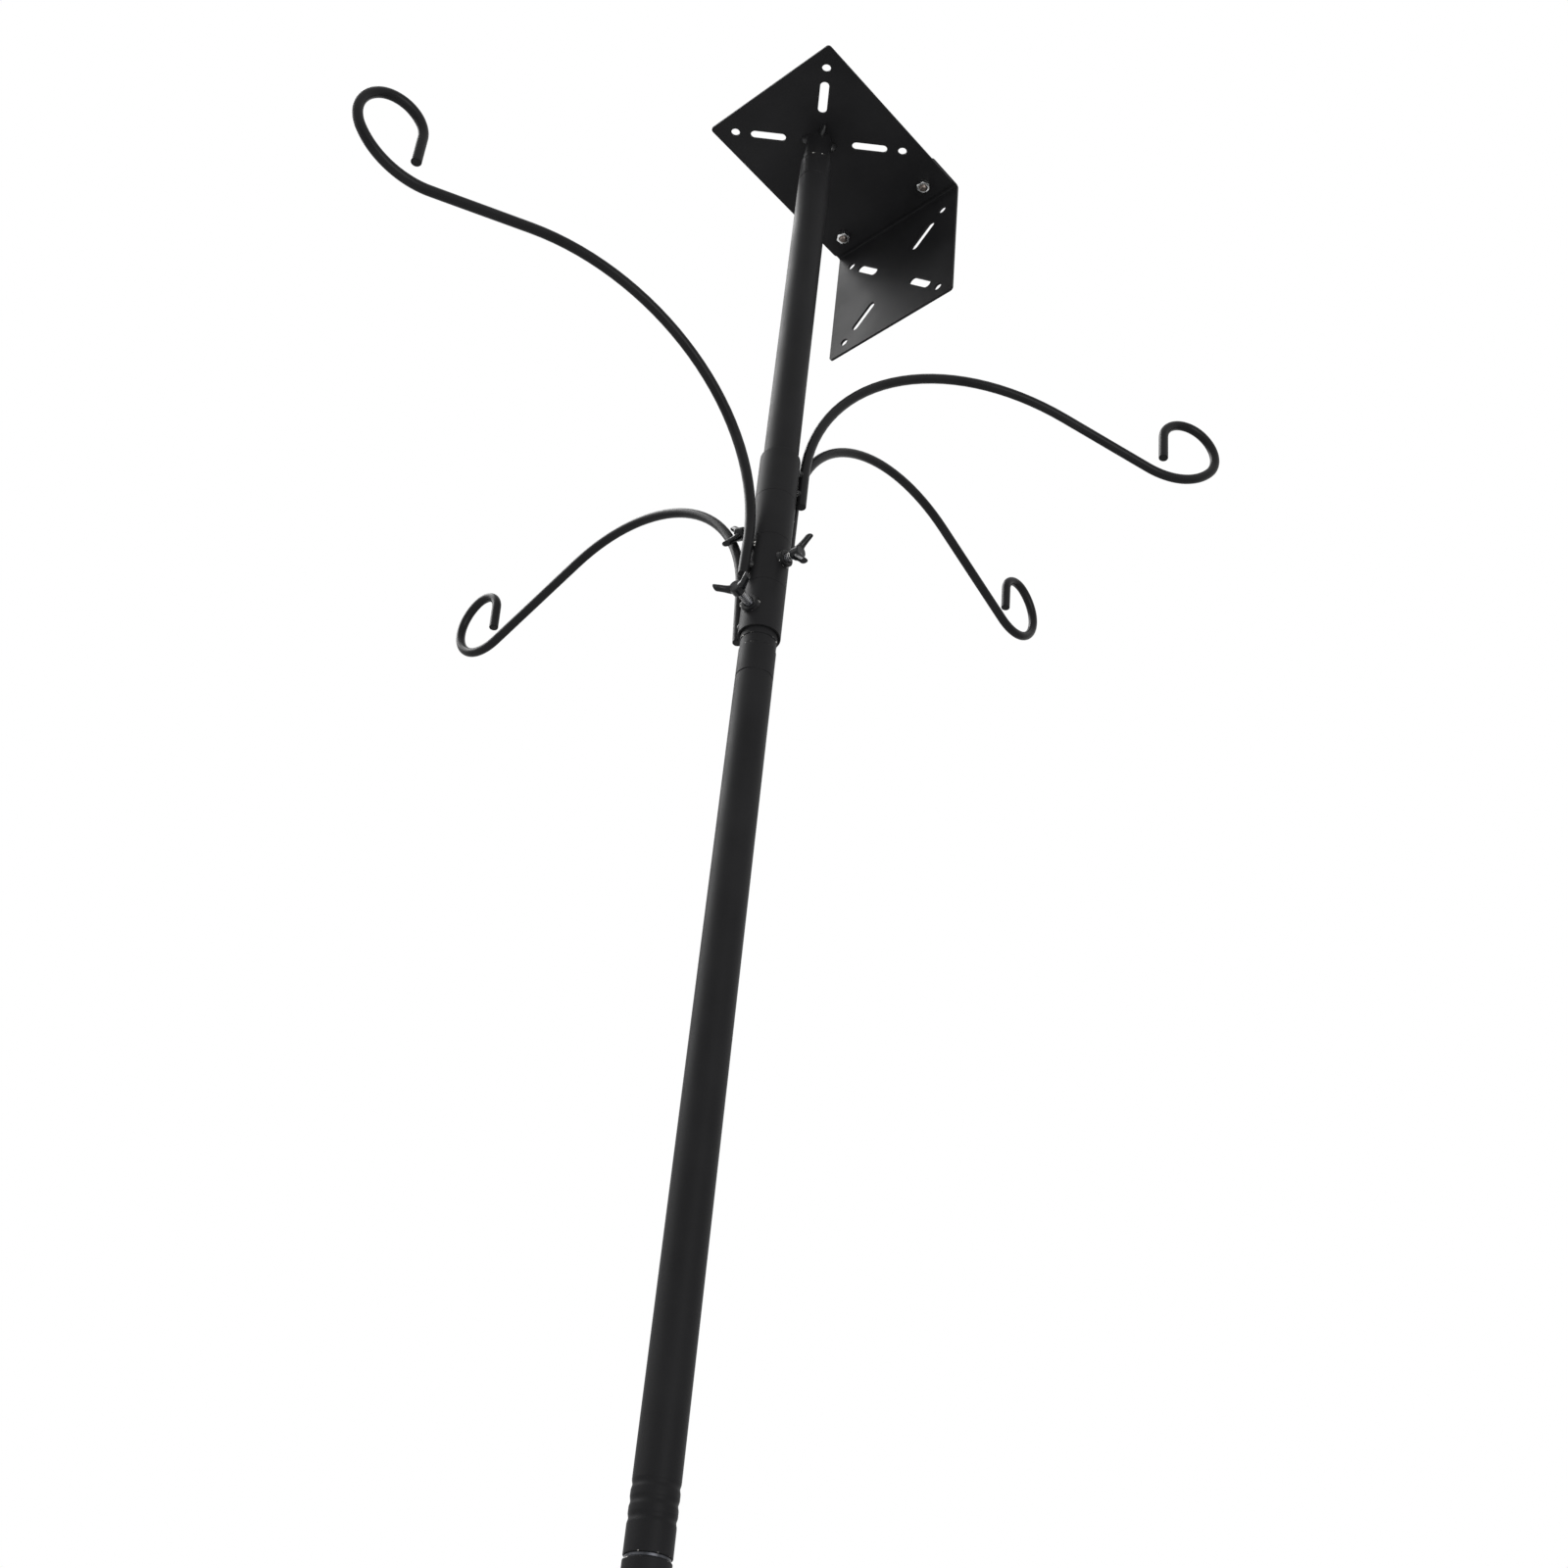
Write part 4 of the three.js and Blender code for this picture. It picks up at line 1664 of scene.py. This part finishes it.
        # The weld flare at the nut's foot takes the weld coat with its painted highlights.
        paint_two(nut, GLOSS_COAT, PAINTED_GLINT_WELD_COAT, lambda point: 1 < point.z < self.flare_end)
        hole = [(bore, 0), (bore, self.nut_face - sink), (bore + 2 * sink, self.nut_face + sink)]
        carve(nut, Carve.CUT, turned("bore_tool", hole, THREAD_SIDES))
        return carve(place(nut, LAID_ALONG_X), Carve.CUT, self.wall_tool())

    def sleeve_nut(self, arm: Arm) -> None:
        """The round nut on its sleeve.

        Args:
            arm: The arm that it belongs to.
        """
        node = f"sleeve_nut_{arm.number}"
        nut = self.copy_of("nut", self.round_nut, f"{node}_round")
        place(nut, arm.spot() @ arm.screw_spot())
        dress(settle(nut), GLOSS_COAT, f"arm_{arm.number}", node)

    def wing(self, side: int) -> Obj:
        """One cast wing: a small block drawn out and up from the hub, then rounded over.

        Args:
            side: 1 for the upper wing, -1 for the lower.

        Returns:
            The wing, in the screw's frame with the hub's inner face at 0 along X.
        """
        across, along, length, thick = self.wing_stations[0]
        deselect()
        bpy.ops.mesh.primitive_cube_add(
            size=1,
            location=mm(along, 0, side * (across - 0.5)),
            scale=mm(2 * length, 2 * thick, 1),
        )
        wing = settle(added("wing"))
        pick(wing, Pick.FACES, lambda point: side * point.z > across - NEAR)
        for before, after in pairwise(self.wing_stations):
            extrude(mm(after[1] - before[1], 0, side * (after[0] - before[0])))
            bpy.ops.transform.resize(
                value=(after[2] / before[2], after[3] / before[3], 1),
                center_override=mm(after[1], 0, side * after[0]),
            )
        leave_edit()
        apply_modifier(wing, "SUBSURF", levels=2, render_levels=2)
        return settle(wing)

    def casting(self) -> Obj:
        """A hub along X with its two wings, from 0 outwards.

        Returns:
            The casting, coated.
        """
        profile = rounded(self.hub_radius, 0, self.hub_length, self.hub_edge, self.hub_edge)
        hub = place(turned("wing_screw_hub", profile, BAR_SIDES), LAID_ALONG_X)
        wings = [self.wing(1), self.wing(-1)]
        BLACKENED_CASTING.paint(hub, *wings)
        return carve(hub, Carve.JOIN, *wings)

    def wing_screw(self, arm: Arm) -> None:
        """The wing screw in two pieces: the black casting, and the thread cast into it.

        Args:
            arm: The arm that it belongs to.
        """
        node, body = f"wing_screw_{arm.number}", f"screw_{arm.number}"
        axis = arm.spot() @ arm.screw_spot() @ rotated(-arm.wing_roll, "X")
        hub_low = self.nut_face + arm.bare_thread
        wings = self.copy_of("wings", self.casting, f"{node}_casting")
        place(wings, axis @ shifted(hub_low, 0, 0))
        dress(settle(wings), BLACKENED_CASTING, body, node, CAST_ANGLE)
        radius, pitch, ridge = self.screw_radius, self.thread_pitch, self.thread_ridge
        root = radius - ridge
        tip = self.screw_tip + self.screw_point
        start = self.nut_face - 3 * pitch
        end = hub_low + pitch
        profile = [
            (root - self.screw_point, self.screw_tip),
            (root, tip),
            (radius, tip + ridge),
            (radius, start),
            *thread(radius, start, end, pitch, ridge),
            (root, end),
        ]
        shank = turned(f"{node}_thread", profile, THREAD_SIDES)
        # Faces near the thread's crests take a painted highlight of bright steel along each ridge.
        crest = radius - self.crest_highlight_share * ridge
        paint_two(
            shank,
            BLACKENED_THREAD,
            CREST_PAINTED_HIGHLIGHT,
            lambda point: math.hypot(point.x, point.y) > crest,
        )
        place(shank, axis @ LAID_ALONG_X)
        dress(settle(shank), BLACKENED_THREAD, body, node)

    def build(self) -> None:
        """Builds and dresses the four arms, then discards their patterns."""
        for arm in self.arms:
            self.sleeve(arm)
            self.hook_rod(arm)
            self.sleeve_nut(arm)
            self.wing_screw(arm)
        for pattern in self.patterns.values():
            discard(pattern)


@dataclass
class Stake:
    """The foot that is pushed into the soil: a socket, a spike and four bent prongs.

    Attributes:
        spike_profile: The spike's point: how far in from its wall and how far above its tip.
        prong_waist: How wide a prong is just before its tip, as a share of the bar.
        prong_end: How wide its tip is, as a share of that.
    """

    socket_radius: float = 15
    socket_bore: float = 12.7
    socket_top: float = 22
    socket_lip: float = 0.4
    seat: float = -26.6
    base: float = -30.6
    edge: float = 1
    spike_radius: float = 6
    spike_top: float = -30.7
    spike_tip: float = -190
    spike_profile: tuple[Station, ...] = ((5.6, 0), (5.1, 0.9), (0.4, 28), (0, 31))
    prong_count: int = 4
    prong_diameter: float = 8
    prong_height: float = 7
    prong_start: float = 15.3
    prong_reach: float = 78
    prong_bend: float = 16
    prong_tip: float = -150
    prong_point: float = 18
    prong_nib: float = 1
    prong_waist: float = 0.12
    prong_end: float = 0.3
    prong_turn: float = 45
    weld_reach: Triple = (2.6, 5.4, 5.4)
    weld_lump: float = 0.5
    weld_seed: int = 5
    weld_gap: float = 0.1
    wall_half: float = 30
    body: str = "pole"

    def socket(self) -> None:
        """The cup that the pole stands in, with a round rim."""
        lip = self.socket_lip
        profile = [
            (self.spike_radius, self.base),
            *rounded(self.socket_radius, self.base, self.socket_top, self.edge, self.edge),
            *rounding(self.socket_bore + lip, self.socket_top - lip, lip, 90, 3),
            (self.socket_bore, self.seat),
            (self.spike_radius, self.seat),
        ]
        cup = turned("stake_socket_cup", profile, TUBE_SIDES)
        dress(cup, POWDER_COAT, self.body, "stake_socket")

    def spike(self) -> None:
        """The round spike, drawn to a blunt point."""
        radius = self.spike_radius
        profile = [(radius - inset, self.spike_tip + rise) for inset, rise in self.spike_profile]
        profile.append((radius, self.spike_top))
        bar = turned("stake_spike_bar", profile, BAR_SIDES)
        dress(bar, POWDER_COAT, self.body, "stake_spike")

    def prongs(self) -> None:
        """One prong, out from its weld, over the bend and down to its point, then its copies."""
        bender = BarBender(self.prong_diameter, self.prong_start, self.prong_height, 0)
        prong = bender.begin("prong")
        bender.draw(self.prong_reach - self.prong_bend - self.prong_start - bender.chamfer)
        bender.bend(Bend(self.prong_bend, -90))
        bender.draw(bender.z - (self.prong_tip + self.prong_point))
        bender.draw(self.prong_point - self.prong_nib, self.prong_waist)
        bender.draw(self.prong_nib, self.prong_end)
        POWDER_COAT.paint(settle(prong))
        centre = Vector((self.prong_start, 0, self.prong_height))
        reach = Vector(self.weld_reach)
        bead = weld_bead(centre, reach, self.weld_seed, self.weld_lump, POWDER_COAT)
        radius, half = self.socket_radius + self.weld_gap, self.wall_half
        wall = peg("wall_tool", radius, -half, half, TUBE_SIDES)
        carve(prong, Carve.JOIN, carve(bead, Carve.CUT, wall))
        for i in range(self.prong_count):
            node = f"stake_prong_{i + 1}"
            piece = twin(prong, f"{node}_bar")
            place(piece, rotated(self.prong_turn + 360 / self.prong_count * i))
            dress(settle(piece), POWDER_COAT, self.body, node, WELDED_ANGLE)
        discard(prong)

    def build(self) -> None:
        """Builds and dresses the stake."""
        self.socket()
        self.spike()
        self.prongs()


# Stage


@dataclass(frozen=True)
class Lamp:
    """A square soft lamp.

    Attributes:
        name: Its name.
        spot: Where it stands, in metres.
        aim: The point that it lights, in metres.
        size: Its side, in metres.
        watts: Its power.
    """

    name: str
    spot: Triple
    aim: Triple
    size: float
    watts: float

    def hang(self) -> None:
        """Adds the lamp to the scene."""
        data = bpy.data.lights.new(self.name, "AREA")
        data.shape = "SQUARE"
        data.size = self.size
        data.energy = self.watts
        lamp = bpy.data.objects.new(self.name, data)
        bpy.context.scene.collection.objects.link(lamp)
        turn = aimed(Vector(self.spot) - Vector(self.aim))
        lamp.matrix_world = Matrix.Translation(self.spot) @ turn


@dataclass
class Studio:
    """A pale floor, soft light and the photograph's camera. Lengths are in metres here.

    Attributes:
        floor_height: Just under the spike's tip, so that the whole stand is seen.
        fade_start: How far from the pole the floor begins to turn into the background.
        fade_end: Where it is all background.
        ambient: The strength of the surroundings as a lamp.
        camera_place: Where the camera is.
        camera_right: The direction to its right.
        camera_up: The direction over it.
        camera_back: The direction behind it.
    """

    floor_height: float = -0.1915
    floor_size: float = 16
    floor_colour: str = "#ebebeb"
    white: str = "#ffffff"
    fade_start: float = 1.1
    fade_end: float = 3.2
    ambient: float = 0.55
    lamps: tuple[Lamp, ...] = (
        Lamp("key_left", (-1.0, 2.05, 3.4), (0, 0, 1.1), 2.4, 115),
        Lamp("fill_left", (-1.9, 1.2, 1.2), (0, 0, 0.9), 1.4, 5),
        Lamp("front_fill", (-0.9, -2.4, 0.7), (0, 0, 1.3), 1.5, 28),
    )
    camera_place: Triple = (-0.69733, -0.71922, 0.01691)
    camera_right: Triple = (0.65136, -0.75405, 0.08447)
    camera_up: Triple = (-0.49209, -0.33507, 0.80348)
    camera_back: Triple = (-0.57756, -0.56492, -0.58931)
    lens: float = 45.4
    sensor: float = 36
    clip_start: float = 0.01

    def camera(self) -> None:
        """The camera at the photograph's viewing angle."""
        data = bpy.data.cameras.new("photo_camera")
        data.lens = self.lens
        data.sensor_width = self.sensor
        data.clip_start = self.clip_start
        camera = bpy.data.objects.new("photo_camera", data)
        bpy.context.scene.collection.objects.link(camera)
        axes = Matrix((self.camera_right, self.camera_up, self.camera_back)).transposed().to_4x4()
        camera.matrix_world = Matrix.Translation(self.camera_place) @ axes
        bpy.context.scene.camera = camera

    def floor(self) -> None:
        """A pale floor that fades to the white background and keeps the shadow near the stand."""
        deselect()
        bpy.ops.mesh.primitive_plane_add(size=self.floor_size, location=(0, 0, self.floor_height))
        floor = added("studio_floor")
        material = bpy.data.materials.new("pale_floor")
        tree = fresh_tree(material)
        spot = add_node(tree, "ShaderNodeTexCoord").outputs["Object"]
        far = add_node(tree, "ShaderNodeVectorMath", {"operation": "LENGTH"}, {0: spot})
        fade = add_node(
            tree,
            "ShaderNodeMapRange",
            {"interpolation_type": "SMOOTHSTEP"},
            {"Value": far.outputs["Value"], "From Min": self.fade_start, "From Max": self.fade_end},
        )
        seen = add_node(tree, "ShaderNodeLightPath").outputs["Is Camera Ray"]
        share = add_node(
            tree, "ShaderNodeMath", {"operation": "MULTIPLY"}, {0: fade.outputs["Result"], 1: seen}
        )
        matt = add_node(tree, "ShaderNodeBsdfDiffuse", inputs={"Color": linear(self.floor_colour)})
        glow = {"Color": linear(self.white), "Strength": 1.0}
        white = add_node(tree, "ShaderNodeEmission", inputs=glow)
        blend = add_node(
            tree,
            "ShaderNodeMixShader",
            inputs={0: share.outputs[0], 1: matt.outputs[0], 2: white.outputs[0]},
        )
        add_node(tree, "ShaderNodeOutputMaterial", inputs={"Surface": blend.outputs[0]})
        floor.data.materials.append(material)
        floor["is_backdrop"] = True

    def surroundings(self) -> None:
        """White where the camera, a reflection or a see-through ray meets it, dimmer as a lamp."""
        world = bpy.data.worlds.new("studio_white")
        bpy.context.scene.world = world
        tree = fresh_tree(world)
        path = add_node(tree, "ShaderNodeLightPath").outputs
        shown = path["Is Camera Ray"]
        for ray in ("Is Glossy Ray", "Is Transmission Ray"):
            either = {0: shown, 1: path[ray]}
            shown = add_node(tree, "ShaderNodeMath", {"operation": "MAXIMUM"}, either).outputs[0]
        blends: dict[str | int, object] = {0: shown}
        for i, strength in enumerate((self.ambient, 1.0), start=1):
            light = {"Color": linear(self.white), "Strength": strength}
            blends[i] = add_node(tree, "ShaderNodeBackground", inputs=light).outputs[0]
        blend = add_node(tree, "ShaderNodeMixShader", inputs=blends)
        add_node(tree, "ShaderNodeOutputWorld", inputs={"Surface": blend.outputs[0]})

    def build(self) -> None:
        """Sets the stage."""
        self.floor()
        self.surroundings()
        for lamp in self.lamps:
            lamp.hang()
        self.camera()
        bpy.context.scene.view_settings.view_transform = "Standard"


def write_sizes() -> None:
    """Puts the CAD box and the visual model's box in a dictionary, which is not kept."""
    boxes = {"cad": CAD_BOX, "visual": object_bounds()}
    {name: [list(low), list(high)] for name, (low, high) in boxes.items()}


def main() -> None:
    """Builds every sub-assembly of the stand, then the stage."""
    logging.basicConfig(level=logging.INFO, format="%(name)s: %(message)s")
    for assembly in (PlateAssembly(), Pole(), HookArms(), Stake(), Studio()):
        LOG.info("building %s", type(assembly).__name__)
        assembly.build()
    write_sizes()


if __name__ == "__main__":
    main()
